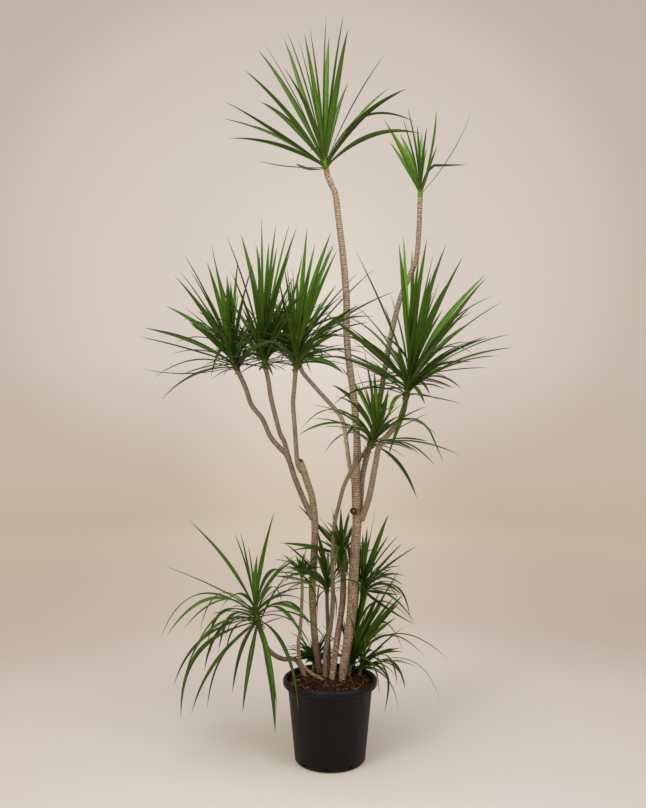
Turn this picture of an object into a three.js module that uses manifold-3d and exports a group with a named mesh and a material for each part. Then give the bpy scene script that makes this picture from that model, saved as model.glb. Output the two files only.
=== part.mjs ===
// A tall house plant of the dragon tree kind, about 2.5 m high, in a black plastic nursery pot.
// Several bare canes stand in one pot of bark compost. Two of them fork, and each cane or branch ends in
// a head: a short green core with long narrow blades all round it. Millimetres, Z up; the origin is the
// middle of the pot's underside, and -Y is the side that the viewer sees.

import * as THREE from "three";
import { mergeVertices } from "three/addons/utils/BufferGeometryUtils.js";
import Module from "manifold-3d";

const wasm = await Module();
wasm.setup();

// ---- Driving sizes -----------------------------------------------------------------------------------

const POT_HEIGHT = 280;
const RIM_RADIUS = 160; // outside of the rolled rim
const RIM_DEPTH = 25;
const BODY_TOP_RADIUS = 144; // outside of the wall just under the rim
const BASE_RADIUS = 119;
const WALL = 2.5;
const FLOOR = 4;
const DRAIN_HOLES = 9;
const DRAIN_RADIUS = 6.5;
const DRAIN_LEVEL = 12; // height of a drain hole's middle
const DRAIN_START = -0.157; // of the angle between two holes, from the front

const SOIL_LEVEL = 270;
const SOIL_LUMP = 3; // height of the compost's unevenness
const GAP = 0.3; // between pieces that touch
const CANE_FOOT = 190; // a cane's buried end stands at this height, in a plain hole in the soil

const BLADE_KEEL = 0.11; // depth of a blade's keel, as a share of its width
const BLADE_ROOT_WIDTH = 0.22; // width at the root, as a share of the widest
const BLADE_CLEARANCE = 1.6; // between blades of different heads
const BLADE_SIMPLIFY = 0.2; // detail finer than this is left out where blades cross
const CORE_SIDES = 6;
const CANE_SIDES = 7;
const CANE_STEP = 66; // distance between the rings that a cane is built from
const TURNED_SIDES = 28; // of the pot and the soil in it
const CANE_SWELL = 0.035; // how far the old leaf rings stand out, as a share of the radius

const GOLDEN_TURN = Math.PI * (3 - Math.sqrt(5));
const GOLDEN_SHARE = 0.618034;
const VIEWER = new THREE.Vector3(-24, -2900, 1208); // the front of the plant is looked at from here

// ---- Materials ---------------------------------------------------------------------------------------

const material = (color, roughness) => new THREE.MeshStandardMaterial({ color, roughness, metalness: 0 });
const potPlastic = material(0x1c1c1b, 0.5);
const compost = material(0x5a3a22, 0.95);
const bark = material(0xa28b74, 0.85);
const leafGreen = material(0x2f6a24, 0.45);

// ---- Solids ------------------------------------------------------------------------------------------

const vector = (p) => new THREE.Vector3(...p);

function solidOf(geometry) {
  const bare = new THREE.BufferGeometry();
  bare.setAttribute("position", geometry.getAttribute("position"));
  bare.setIndex(geometry.getIndex());
  const merged = mergeVertices(bare, 1e-3);
  const corners = Array.from(merged.index.array);
  const faces = [];
  for (let i = 0; i < corners.length; i += 3) {
    const [a, b, c] = corners.slice(i, i + 3);
    if (a !== b && b !== c && c !== a) faces.push(a, b, c);
  }
  const mesh = new wasm.Mesh({
    numProp: 3,
    vertProperties: merged.attributes.position.array,
    triVerts: new Uint32Array(faces),
  });
  return new wasm.Manifold(mesh);
}

function meshOf(name, solid, finish) {
  const made = solid.getMesh();
  const points = new Float32Array(made.numVert * 3);
  for (let i = 0; i < made.numVert; i++) {
    points.set(made.vertProperties.subarray(i * made.numProp, i * made.numProp + 3), i * 3);
  }
  const geometry = new THREE.BufferGeometry();
  geometry.setAttribute("position", new THREE.BufferAttribute(points, 3));
  geometry.setIndex(new THREE.BufferAttribute(made.triVerts, 1));
  geometry.computeVertexNormals();
  const mesh = new THREE.Mesh(geometry, finish);
  mesh.name = name;
  return mesh;
}

// A closed skin over rings of points, all with the same number of corners. Each end is one point or a
// flat cap.
function skin(rings) {
  const points = rings.flat();
  const faces = [];
  const starts = [];
  rings.reduce((at, ring) => (starts.push(at), at + ring.length), 0);
  for (let k = 0; k + 1 < rings.length; k++) {
    const [a, b] = [starts[k], starts[k + 1]];
    const [inA, inB] = [rings[k].length, rings[k + 1].length];
    const sides = Math.max(inA, inB);
    for (let i = 0; i < sides; i++) {
      const j = (i + 1) % sides;
      if (inA > 1) faces.push(a + i, a + j, b + (i % inB));
      if (inB > 1) faces.push(a + (j % inA), b + j, b + i);
    }
  }
  const cap = (start, count, turned) => {
    for (let i = 1; i + 1 < count; i++) {
      faces.push(start, ...(turned ? [start + i + 1, start + i] : [start + i, start + i + 1]));
    }
  };
  cap(starts[0], rings[0].length, true);
  cap(starts.at(-1), rings.at(-1).length, false);
  const geometry = new THREE.BufferGeometry();
  const flat = new Float32Array(points.flatMap((p) => [p.x, p.y, p.z]));
  geometry.setAttribute("position", new THREE.BufferAttribute(flat, 3));
  geometry.setIndex(faces);
  return geometry;
}

const turned = (profile, segments) => {
  const points = profile.map(([r, z]) => new THREE.Vector2(r, z));
  return new THREE.LatheGeometry(points, segments).rotateX(Math.PI / 2);
};

// ---- Pot ---------------------------------------------------------------------------------------------

// The outside of the wall leans out from the base to the rim; the inside follows it.
const wallRadius = (z) => BASE_RADIUS + ((BODY_TOP_RADIUS - BASE_RADIUS) * z) / (POT_HEIGHT - RIM_DEPTH);

function pot() {
  const rimFoot = POT_HEIGHT - RIM_DEPTH;
  const profile = [
    [0, 0],
    [BASE_RADIUS - 8, 0],
    [wallRadius(8), 8],
    [wallRadius(rimFoot - 16), rimFoot - 16],
    [BODY_TOP_RADIUS + 2, rimFoot - 13],
    [BODY_TOP_RADIUS + 2, rimFoot],
    [RIM_RADIUS, rimFoot + 2],
    [RIM_RADIUS, POT_HEIGHT - 5],
    [RIM_RADIUS - 6, POT_HEIGHT],
    [RIM_RADIUS - 12, POT_HEIGHT - 4],
    [wallRadius(rimFoot) - WALL, rimFoot],
    [wallRadius(FLOOR) - WALL, FLOOR],
    [0, FLOOR],
  ];
  let body = solidOf(turned(profile, TURNED_SIDES));
  const punch = new THREE.CylinderGeometry(DRAIN_RADIUS, DRAIN_RADIUS, 24, 6);
  for (let i = 0; i < DRAIN_HOLES; i++) {
    const at = ((i + DRAIN_START) / DRAIN_HOLES) * 2 * Math.PI;
    const place = new THREE.Matrix4().makeRotationZ(at);
    place.multiply(new THREE.Matrix4().makeTranslation(0, -BASE_RADIUS, DRAIN_LEVEL));
    body = body.subtract(solidOf(punch.clone().applyMatrix4(place)));
  }
  return body;
}

// ---- Canes -------------------------------------------------------------------------------------------

// Each route is a smooth line through points chosen along the plant's own canes, from the soil or the fork
// up to the head, with its radii evenly spaced from end to end. A cane with branches is one grown piece.
const CANES = {
  cane_main: {
    trunk: {
      radii: [16, 17, 17, 16, 12, 11.5, 11.5, 11, 9.5],
      points: [
        [40, -18, 262], [47, -12, 326], [54, -6, 362], [64, 6, 420], [74, 15, 490], [80, 20, 600],
        [88, 22, 737], [93, 22, 804], [89, 18, 921], [90, 18, 989], [93, 18, 1050], [90, 18, 1125],
        [81, 18, 1235], [62, 14, 1375], [56, 10, 1478], [56, 6, 1567], [44, -2, 1711], [26, -4, 1861],
        [18, -4, 1921], [4, -2, 1956], [-8, 0, 1984], [-13, 0, 2007],
      ],
    },
    behind: {
      radii: [10, 8.5],
      points: [
        [99, 22, 831], [107, 40, 895], [112, 50, 953], [125, 56, 1014], [163, 56, 1170], [181, 50, 1274],
        [210, 38, 1442], [243, 28, 1575], [290, 20, 1688], [302, 16, 1764], [308, 12, 1913],
      ],
    },
    right: {
      radii: [11, 9.5, 8.5],
      points: [
        [104, 20, 806], [122, 2, 857], [135, -10, 903], [154, -34, 1013], [164, -44, 1063],
        [200, -58, 1114], [227, -62, 1145], [245, -64, 1189], [253, -64, 1231],
      ],
    },
    crossing: {
      radii: [7, 7.5],
      points: [
        [84, 20, 930], [70, 34, 981], [57, 58, 1077], [51, 70, 1121], [34, 86, 1170], [-30, 104, 1243],
        [-87, 106, 1308], [-104, 104, 1336],
      ],
    },
  },
  cane_left: {
    trunk: {
      radii: [12.5, 12, 12, 12, 11.5],
      points: [
        [-34, 70, 262], [-52, 66, 390], [-60, 60, 509], [-60, 55, 600], [-53, 50, 722], [-52, 46, 790],
        [-56, 42, 845], [-64, 38, 895], [-76, 34, 932], [-88, 30, 970], [-101, 27, 1014],
      ],
    },
    inner: {
      radii: [7.5, 7.5],
      points: [
        [-96, 28, 970], [-111, 22, 1003], [-115, 12, 1047], [-120, -8, 1132], [-125, -22, 1208],
        [-121, -32, 1260], [-116, -40, 1322],
      ],
    },
    left: {
      radii: [9.5, 9, 8, 8],
      points: [
        [-56, 44, 806], [-79, 44, 852], [-98, 42, 895], [-120, 40, 950], [-146, 34, 1026],
        [-174, 34, 1058], [-205, 34, 1096], [-233, 32, 1157], [-269, 28, 1204], [-289, 24, 1262],
        [-315, 20, 1320],
      ],
    },
    middle: {
      radii: [8, 7.5],
      points: [
        [-140, 36, 1010], [-156, 26, 1075], [-173, 16, 1114], [-200, -6, 1226], [-208, -14, 1281],
        [-217, -20, 1326],
      ],
    },
  },
  cane_slim: {
    trunk: {
      radii: [10, 8.5, 7, 6.5, 7],
      points: [
        [-14, 14, 262], [-15, 32, 356], [2, 34, 444], [10, 26, 540], [8, 18, 657], [15, 4, 796],
        [30, -10, 865], [44, -22, 923], [62, -30, 966], [84, -34, 1006], [104, -34, 1033],
        [121, -33, 1046], [133, -32, 1063],
      ],
    },
  },
  cane_centre: {
    trunk: {
      radii: [11.5, 11, 9.5],
      points: [
        [6, -12, 262], [14, 0, 330], [21, 20, 380], [30, 38, 430], [44, 56, 520], [46, 62, 606],
        [42, 60, 661],
      ],
    },
  },
  cane_side: {
    trunk: {
      radii: [6.5, 5],
      points: [
        [-22, -16, 256], [-32, -16, 278], [-59, -16, 293], [-78, -18, 309], [-93, -18, 325],
        [-104, -16, 348], [-107, -14, 402], [-100, -10, 458], [-95, 0, 560], [-96, 2, 616],
      ],
    },
  },
  cane_low_left: {
    trunk: {
      radii: [8.5, 8],
      points: [
        [-84, 48, 250], [-98, 58, 290], [-118, 72, 314], [-139, 74, 320], [-157, 64, 320], [-183, 48, 334],
        [-206, 34, 356], [-221, 24, 379], [-231, 14, 409], [-239, 6, 445],
      ],
    },
  },
  shoot_back: {
    trunk: {
      radii: [7, 6],
      points: [[-3, 92, 262], [-3, 96, 349], [-8, 98, 453], [-10, 98, 537]],
    },
  },
  shoot_right: {
    trunk: {
      radii: [7, 6],
      points: [[66, 84, 262], [84, 86, 351], [98, 88, 438], [109, 90, 510], [112, 90, 538]],
    },
  },
  shoot_rim_rising: {
    trunk: { radii: [7, 7], points: [[62, 44, 250], [66, 45, 272], [68, 46, 290]] },
  },
  shoot_rim_drooping: {
    trunk: { radii: [6, 6], points: [[96, 46, 250], [101, 48, 270], [104, 48, 284]] },
  },
  shoot_rim_left: {
    trunk: { radii: [6, 6], points: [[-60, 92, 250], [-58, 91, 276], [-56, 90, 296]] },
  },
};

// A pruned side branch leaves a short round stump, [point in the cane, direction, radius, length].
const STUMPS = {
  cane_main: { at: [86, 18, 846], toward: [-0.3, -1, 0.05], radius: 11, length: 27 },
};

// The radius at a share of a route's length.
function radiusAt(radii, share) {
  const place = share * (radii.length - 1);
  const k = Math.min(Math.floor(place), radii.length - 2);
  return THREE.MathUtils.lerp(radii[k], radii[k + 1], place - k);
}

const curveThrough = (points) => new THREE.CatmullRomCurve3(points.map(vector), false, "catmullrom", 0.5);

// A cane's buried foot goes straight down from where it leaves the soil.
const withFoot = (points, foot = CANE_FOOT) => [[points[0][0], points[0][1], foot], ...points];

function rod(points, radii, sides, extra = 0) {
  const curve = curveThrough(points);
  const steps = Math.max(2, Math.round(curve.getLength() / CANE_STEP));
  const frames = curve.computeFrenetFrames(steps, false);
  const rings = curve.getSpacedPoints(steps).map((centre, k) => {
    const swell = k === 0 || k === steps ? 0 : CANE_SWELL * (k % 2 ? 1 : -1);
    const radius = radiusAt(radii, k / steps) * (1 + swell) + extra;
    return Array.from({ length: sides }, (_, i) => {
      const turn = (i / sides) * 2 * Math.PI;
      return centre
        .clone()
        .addScaledVector(frames.normals[k], radius * Math.cos(turn))
        .addScaledVector(frames.binormals[k], radius * Math.sin(turn));
    });
  });
  return solidOf(skin(rings));
}

function stump({ at, toward, radius, length }) {
  const from = vector(at);
  const to = from.clone().addScaledVector(vector(toward).normalize(), length);
  const middle = from.clone().lerp(to, 0.5);
  return rod([from, middle, to].map((p) => p.toArray()), [radius, radius], CANE_SIDES);
}

function cane(name) {
  const routes = Object.entries(CANES[name]);
  const parts = routes.map(([part, { points, radii }]) =>
    rod(part === "trunk" ? withFoot(points) : points, radii, CANE_SIDES),
  );
  if (STUMPS[name]) parts.push(stump(STUMPS[name]));
  return wasm.Manifold.union(parts);
}

// ---- Soil --------------------------------------------------------------------------------------------

// Compost up to just under the rim, its surface a little uneven, with a plain hole for each cane.
function soil() {
  const inside = (z) => wallRadius(z) - WALL - 0.5;
  const rings = [1, 0.8, 0.57, 0.3];
  const profile = [[0, FLOOR + GAP], [inside(FLOOR + GAP), FLOOR + GAP]];
  rings.forEach((share) => profile.push([inside(SOIL_LEVEL - 8) * share, SOIL_LEVEL - 6 * share]));
  profile.push([0, SOIL_LEVEL]);
  const geometry = turned(profile, TURNED_SIDES);
  const position = geometry.getAttribute("position");
  for (let i = 0; i < position.count; i++) {
    const [x, y, z] = [position.getX(i), position.getY(i), position.getZ(i)];
    if (z < SOIL_LEVEL - 8) continue;
    const lump = Math.sin(x / 9 + 1.3 * Math.sin(y / 17)) * Math.cos(y / 11 + Math.sin(x / 23));
    position.setZ(i, z + SOIL_LUMP * lump);
  }
  const holes = Object.values(CANES).map(({ trunk: { points, radii } }) =>
    rod(withFoot(points, CANE_FOOT - 2 * GAP), radii, CANE_SIDES, 2 * GAP),
  );
  return solidOf(geometry).subtract(wasm.Manifold.union(holes));
}

// ---- Heads -------------------------------------------------------------------------------------------

// seen: where the tips of the leaves that show from the front stand from the head's heart, as the viewer
// sees them, [across, up, arch, side]. arch is how far the leaf's middle stands above its chord, as a share
// of the chord. side is -1 for a leaf that passes before what is near it, and 1 for one that passes behind.
// reach: a grown leaf's length. unseen: how many more leaves point to and away from the viewer, and spread
// how many degrees from upright the oldest of them leans. droop: how much more a lower leaf arches.
const HEADS = {
  head_crown: {
    cane: "cane_main", branch: "trunk", reach: 520, width: 17.9, core: [11.7, 62], unseen: 10,
    spread: 66, droop: 0.08,
    seen: [
      [0, 525], [10, 455], [75, 480], [75, 295], [205, 400], [220, 280], [275, 275, 0.08], [305, 160, 0.2],
      [325, 120, 0.12], [-55, 485], [-75, 465], [-95, 440], [-135, 470], [-145, 445], [-215, 435],
      [-235, 410], [-280, 340], [-225, 230], [-355, 235, 0.02], [-360, 175, 0.03], [-335, 105, 0.06],
      [-240, 30, -0.03], [-105, 20, -0.03],
    ],
  },
  head_top_right: {
    cane: "cane_main", branch: "behind", reach: 320, width: 14.6, core: [10.4, 45], unseen: 5,
    spread: 46, droop: 0.06,
    seen: [
      [-125, 270], [-105, 190], [-60, 275], [-70, 220], [-10, 250], [5, 220], [55, 300, -0.1],
      [175, 295, -0.06], [165, 110, 0.3],
    ],
  },
  head_left_outer: {
    cane: "cane_left", branch: "left", reach: 420, width: 16.8, core: [11.1, 60], unseen: 8,
    spread: 85, droop: 0.1,
    seen: [
      [-220, 330], [-205, 350], [-185, 400], [-135, 310], [-110, 375], [-80, 365], [-75, 375], [-250, 225],
      [-170, 170], [-325, 150, 0.04], [-345, 120, 0.02], [-335, 10, -0.06], [-290, -25, 0.14],
      [-265, -100, 0.1], [-95, -30, 0.3], [0, 385], [40, 350], [110, 170], [60, 205], [75, 40, 0.1],
      [140, 105, 0.06],
    ],
  },
  head_left_middle: {
    cane: "cane_left", branch: "middle", reach: 480, width: 16.8, core: [10.4, 60], unseen: 8,
    spread: 85, droop: 0.1,
    seen: [
      [-135, 455], [-85, 460], [-30, 420], [-15, 515], [10, 430], [30, 490], [35, 415], [80, 490],
      [105, 480], [85, 405], [-120, 335], [-135, 245], [-185, 430, -0.08], [125, 395, -0.06],
      [-120, 150], [-60, 40, 0.12], [95, 205], [120, 120, 0.05], [-85, 215], [70, 45, 0.12],
    ],
  },
  head_left_inner: {
    cane: "cane_left", branch: "inner", reach: 460, width: 16.8, core: [11.1, 60], unseen: 8,
    spread: 80, droop: 0.1,
    seen: [
      [-10, 345], [30, 400], [40, 480], [65, 425], [120, 465], [130, 425], [140, 410], [140, 290],
      [75, 330], [-30, 345], [165, -15, 0.08], [270, 345, 0.04], [215, 220, 0.05], [-62, 175],
      [-125, 110, 0.06], [-85, 215], [-70, 35, 0.12], [110, 75, 0.08],
    ],
  },
  head_left_back: {
    cane: "cane_main", branch: "crossing", reach: 420, width: 15.7, core: [10.4, 55], unseen: 7,
    spread: 88, droop: 0.1,
    seen: [
      [335, 270, 0.05], [245, 160, 0.06], [235, 50, 0.08], [250, 10, 0.08], [195, 345, 0.03],
      [155, -25, 0.1], [215, 85, 0.08],
    ],
  },
  head_right: {
    cane: "cane_main", branch: "right", reach: 550, width: 17.9, core: [11.7, 70], unseen: 11,
    spread: 78, droop: 0.1,
    seen: [
      [-170, 490, 0.02], [-75, 305], [-25, 515], [-10, 540], [-15, 470], [25, 495], [70, 530], [85, 480],
      [105, 480], [135, 515], [190, 470], [265, 410], [270, 400], [225, 255], [185, 285], [325, 320],
      [285, 200], [350, 210, 0.06], [355, 165, 0.06], [185, 25, 0.12], [105, 185], [125, 100, 0.05],
      [-280, 285, 0.03], [-260, 165, 0.04], [-195, 235, 0.03], [-205, 205, 0.04], [-65, -205, 0.12],
      [80, 5, 0.12], [-255, 135, 0.06],
    ],
  },
  head_middle: {
    cane: "cane_slim", branch: "trunk", reach: 380, width: 15.7, core: [9.8, 50], unseen: 8,
    spread: 96, droop: 0.14,
    seen: [
      [-20, 335], [20, 260], [65, 200], [90, 145], [50, 235], [-130, 210, 0.1], [-120, 170, 0.12],
      [-240, 55, 0.2], [-240, 40, 0.16], [-160, -25, 0.16], [300, -30, 0.08], [170, -25, 0.08],
      [225, -70, 0.12], [160, -175, 0.1], [250, -55, 0.42], [200, 140, 0.04],
    ],
  },
  head_low_left: {
    cane: "cane_low_left", branch: "trunk", reach: 420, width: 16.8, core: [10.4, 82], unseen: 10,
    spread: 108, droop: 0.2,
    seen: [
      [-250, 375, 0.04], [-325, 210, 0.03], [-40, 285], [-10, 250], [50, 400], [-340, -40, 0.3],
      [-320, -30, 0.26], [-180, -55, 0.24], [-135, 65, 0.18], [-295, -200, 0.16], [-260, -190, 0.26],
      [-270, -315, 0.2], [-235, -300, 0.1], [-190, -155, 0.2], [-180, -280, 0.16], [-95, -230, 0.1],
      [-60, -295, 0.06], [40, -350, 0.06], [60, -280, 0.1], [130, -290, 0.24, -1], [125, 145, 0.24],
      [185, 135, 0.1], [170, 80, 0.12], [170, 0, 0.2], [155, -55, 0.24], [175, -70, 0.12],
      [252, -82, 0.2, -1],
    ],
  },
  head_low_centre: {
    cane: "cane_centre", branch: "trunk", reach: 260, width: 15.7, core: [10.4, 40], unseen: 6,
    spread: 100, droop: 0.2,
    seen: [
      [-5, 185], [35, 130], [-80, 130], [-80, 155], [25, 175], [-10, -100, 0.4], [-25, -45, 0.35],
      [5, -75, 0.35], [-40, 110], [55, 145], [-159, 200, 0.02, 1], [-215, 66, 0.05, -1],
      [-185, 35, 0.08, -1],
    ],
  },
  head_low_back: {
    cane: "shoot_back", branch: "trunk", reach: 330, width: 15.6, core: [9.1, 45], unseen: 9,
    spread: 96, droop: 0.16,
    seen: [
      [-30, 215], [-155, 100, 0.08], [-155, 70, 0.1], [-35, -100, 0.3], [-20, -130, 0.3],
      [-165, -15, 0.14], [-40, 150], [25, 160],
    ],
  },
  head_low_side: {
    cane: "cane_side", branch: "trunk", reach: 130, width: 10.1, core: [7.2, 26], unseen: 4,
    spread: 92, droop: 0.12,
    seen: [
      [-70, 30, 0.1], [-75, -40, 0.2], [-40, 60, 0.05], [-20, 75, 0.04], [5, 75], [35, 40, 0.1],
      [55, -20, 0.2],
    ],
  },
  head_low_right: {
    cane: "shoot_right", branch: "trunk", reach: 330, width: 15.7, core: [9.1, 48], unseen: 8,
    spread: 94, droop: 0.14,
    seen: [
      [95, 285, 0.02], [95, 210, 0.03], [130, 210, 0.03], [200, 175, 0.03], [5, 185], [50, 305, 0.02],
      [135, 100, 0.1], [155, 65, 0.12], [150, 30, 0.14], [170, -90, 0.3], [185, -100, 0.16], [35, 230],
      [50, 140, 0.02],
    ],
  },
  head_rim_rising: {
    cane: "shoot_rim_rising", branch: "trunk",
    reach: 330, width: 17.5, core: [9.1, 46], unseen: 4,
    spread: 84, droop: 0.1,
    seen: [
      [42, 322, 0.02], [67, 292, 0.02], [22, 262], [177, 237, 0.02], [77, 192, 0.02], [172, 332, 0.03],
      [67, 87], [187, 57, 0.45], [342, 32, 0.3], [132, 212, 0.02], [57, 222, 0.02], [102, 257, 0.02],
      [162, 182, 0.03], [85, 12, 0.1, -1],
    ],
  },
  head_rim_drooping: {
    cane: "shoot_rim_drooping", branch: "trunk",
    reach: 260, width: 13.4, core: [8.5, 34], unseen: 5,
    spread: 96, droop: 0.25,
    seen: [
      [148, 67, 0.08], [278, -113, 0.3], [133, -138, 0.28], [83, -148, 0.4], [68, -88, 0.4],
      [128, -53, 0.36], [103, -33, 0.34], [83, 87, 0.04], [43, 97, 0.03],
    ],
  },
  head_rim_left: {
    cane: "shoot_rim_left", branch: "trunk", reach: 150, width: 12.3, core: [8.5, 30], unseen: 6,
    spread: 92, droop: 0.1,
    seen: [
      [88, 20, 0.06], [73, 40, 0.05], [-97, 30, 0.1], [-62, 85, 0.05], [13, 75, 0.04], [58, 8, 0.1],
      [-55, 22, 0.08],
    ],
  },
};

// Repeatable draws between 0 and 1, a fresh series for each head.
function draws(seed) {
  let state = seed;
  return () => {
    state = (state * 1664525 + 1013904223) % 4294967296;
    return state / 4294967296;
  };
}

// The width of a blade along its length, from 0 at the root to 1 at the tip, as a share of its widest.
const bladeWidth = (t) => Math.min(1, BLADE_ROOT_WIDTH + 2 * t) * (1 - t ** 4.5);

// Where the rings of a blade stand: a straight leaf needs few and a drooping one more.
const bladeStations = ({ arch, seen }) => {
  if (Math.abs(arch) < 0.05 && !seen) return [0, 0.55, 1];
  if (Math.abs(arch) < 0.09) return [0, 0.3, 0.76, 1];
  return Math.abs(arch) < 0.22 ? [0, 0.26, 0.54, 0.8, 1] : [0, 0.2, 0.42, 0.63, 0.83, 1];
};

// A blade's line is a quadratic curve that leaves the core and bows above the chord to its tip.
function bladeLine(root, tip, arch) {
  const chord = tip.clone().sub(root);
  const length = chord.length();
  chord.divideScalar(length);
  const lift = new THREE.Vector3(0, 0, 1).addScaledVector(chord, -chord.z);
  if (lift.length() < 1e-3) lift.set(0, 1, 0);
  lift.normalize();
  const control = root.clone().add(tip).multiplyScalar(0.5).addScaledVector(lift, 2 * arch * length);
  return { curve: new THREE.QuadraticBezierCurve3(root, control, tip), lift, side: chord.cross(lift) };
}

// What a new blade has to keep clear of: round bars from a to b, each with the piece that it belongs to.
const bars = [];
const addBar = (a, b, radius, owner) => bars.push({ a, b, radius, owner });
const BARS_PER_POINT = 4; // along a cane, between two points of its route

Object.entries(CANES).forEach(([name, routes]) => {
  Object.values(routes).forEach(({ points, radii }) => {
    const curve = curveThrough(points);
    const count = BARS_PER_POINT * (points.length - 1);
    const line = curve.getPoints(count);
    line.slice(1).forEach((b, k) => {
      const radius = radiusAt(radii, k / count) * (1 + CANE_SWELL);
      addBar(line[k], b, radius + 1, name);
    });
  });
});

// A head's core goes on in the direction in which its cane ends.
Object.entries(HEADS).forEach(([name, head]) => {
  const [beforeLast, last] = CANES[head.cane][head.branch].points.slice(-2).map(vector);
  head.heart = last;
  head.axis = last.clone().sub(beforeLast).normalize();
  const top = last.clone().addScaledVector(head.axis, head.core[1]);
  addBar(last, top, head.core[0], name);
});

const FLOOR_CLEARANCE = 14; // between a hanging leaf's middle and what the pot stands on
const POT_CLEARANCE = 12;

function touchesPot(p) {
  const overPot = Math.hypot(p.x, p.y) < RIM_RADIUS + POT_CLEARANCE;
  return p.z < FLOOR_CLEARANCE || (overPot && p.z < POT_HEIGHT + POT_CLEARANCE);
}

function distanceToBar(p, { a, b }) {
  const [dx, dy, dz] = [b.x - a.x, b.y - a.y, b.z - a.z];
  const along = ((p.x - a.x) * dx + (p.y - a.y) * dy + (p.z - a.z) * dz) / (dx * dx + dy * dy + dz * dz);
  const t = Math.min(1, Math.max(0, along));
  return Math.hypot(p.x - a.x - t * dx, p.y - a.y - t * dy, p.z - a.z - t * dz);
}

// A blade is tested at short steps along the straight runs that it is built from. Above the end of its
// own cane it is free to start from the core.
const TEST_STEPS = 8;
const NEAR_HEART = 60;
const FAR = 320; // longer than any bar
const OWN_CLEAR_FROM = 90;
const OWN_CLEARANCE = 6;

function isClear(line, stations, width, name, head) {
  for (let k = 0; k + 1 < line.length; k++) {
    for (let i = 0; i < TEST_STEPS; i++) {
      const share = i / TEST_STEPS;
      const p = line[k].clone().lerp(line[k + 1], share);
      const half = (width * bladeWidth(THREE.MathUtils.lerp(stations[k], stations[k + 1], share))) / 2;
      const fromHeart = p.clone().sub(head.heart);
      if (fromHeart.length() > NEAR_HEART && touchesPot(p)) return false;
      const aboveCane = fromHeart.dot(head.axis) > half + 1;
      for (const bar of bars) {
        if (bar.owner === name) {
          if (fromHeart.length() > OWN_CLEAR_FROM && distanceToBar(p, bar) < OWN_CLEARANCE) return false;
          continue;
        }
        if (bar.owner === head.cane && aboveCane && fromHeart.length() < NEAR_HEART) continue;
        if (Math.abs(p.x - bar.a.x) > FAR || Math.abs(p.z - bar.a.z) > FAR) continue;
        if (distanceToBar(p, bar) < half + bar.radius + BLADE_CLEARANCE) return false;
      }
    }
  }
  return true;
}

// Moves a point away from the viewer by a depth, so that it keeps its place in the view.
function alongSight(point, depth) {
  const sight = point.clone().sub(VIEWER);
  return point.clone().addScaledVector(sight, depth / sight.y);
}

// A leaf that would touch another piece swings nearer to the viewer or further away, and hardly sideways,
// until it passes clear.
const SWINGS = 90;
const SWING_STEP = 9;
const SHIFT_STEP = 0.35; // across the view, a little more at each swing

function settle(leaf, name, head) {
  for (let k = 0; k < SWINGS; k++) {
    const swing = SWING_STEP * Math.ceil(k / 2) * (k % 2 ? 1 : -1);
    const tip = alongSight(leaf.tip, swing);
    tip.x += SHIFT_STEP * k * Math.cos(k * GOLDEN_TURN);
    tip.z += SHIFT_STEP * k * Math.sin(k * GOLDEN_TURN);
    const made = bladeLine(leaf.root, tip, leaf.arch);
    const stations = bladeStations(leaf);
    const line = stations.map((t) => made.curve.getPoint(t));
    if (isClear(line, stations, leaf.width, name, head)) return { ...leaf, ...made, tip, stations, line };
  }
  return null;
}

// How the leaves of a head vary. Lengths are shares of the head's reach, widths of its leaf width.
const SEEN_LENGTHS = [0.88, 1.04];
const UNSEEN_LENGTHS = [0.74, 0.94];
const WIDTHS = [0.85, 1.15];
const ROLLS = [-0.45, 0.45]; // radians about the leaf's own line
const DEPTHS = [0.45, 0.95]; // how much of its hidden length a leaf leans to or from the viewer
const LEAST_TILT = 14; // degrees from upright, of the youngest leaf
const ASIDE = [-0.75, 0.75]; // radians off the line to or from the viewer
const ROOTS = [0.24, 0.98]; // shares of the core's length, for the oldest leaf and the youngest
const LEAST_ARCH = 0.02;
const LEAST_DEPTH = 0.15;

const between = ([low, high], share) => low + (high - low) * share;

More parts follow.
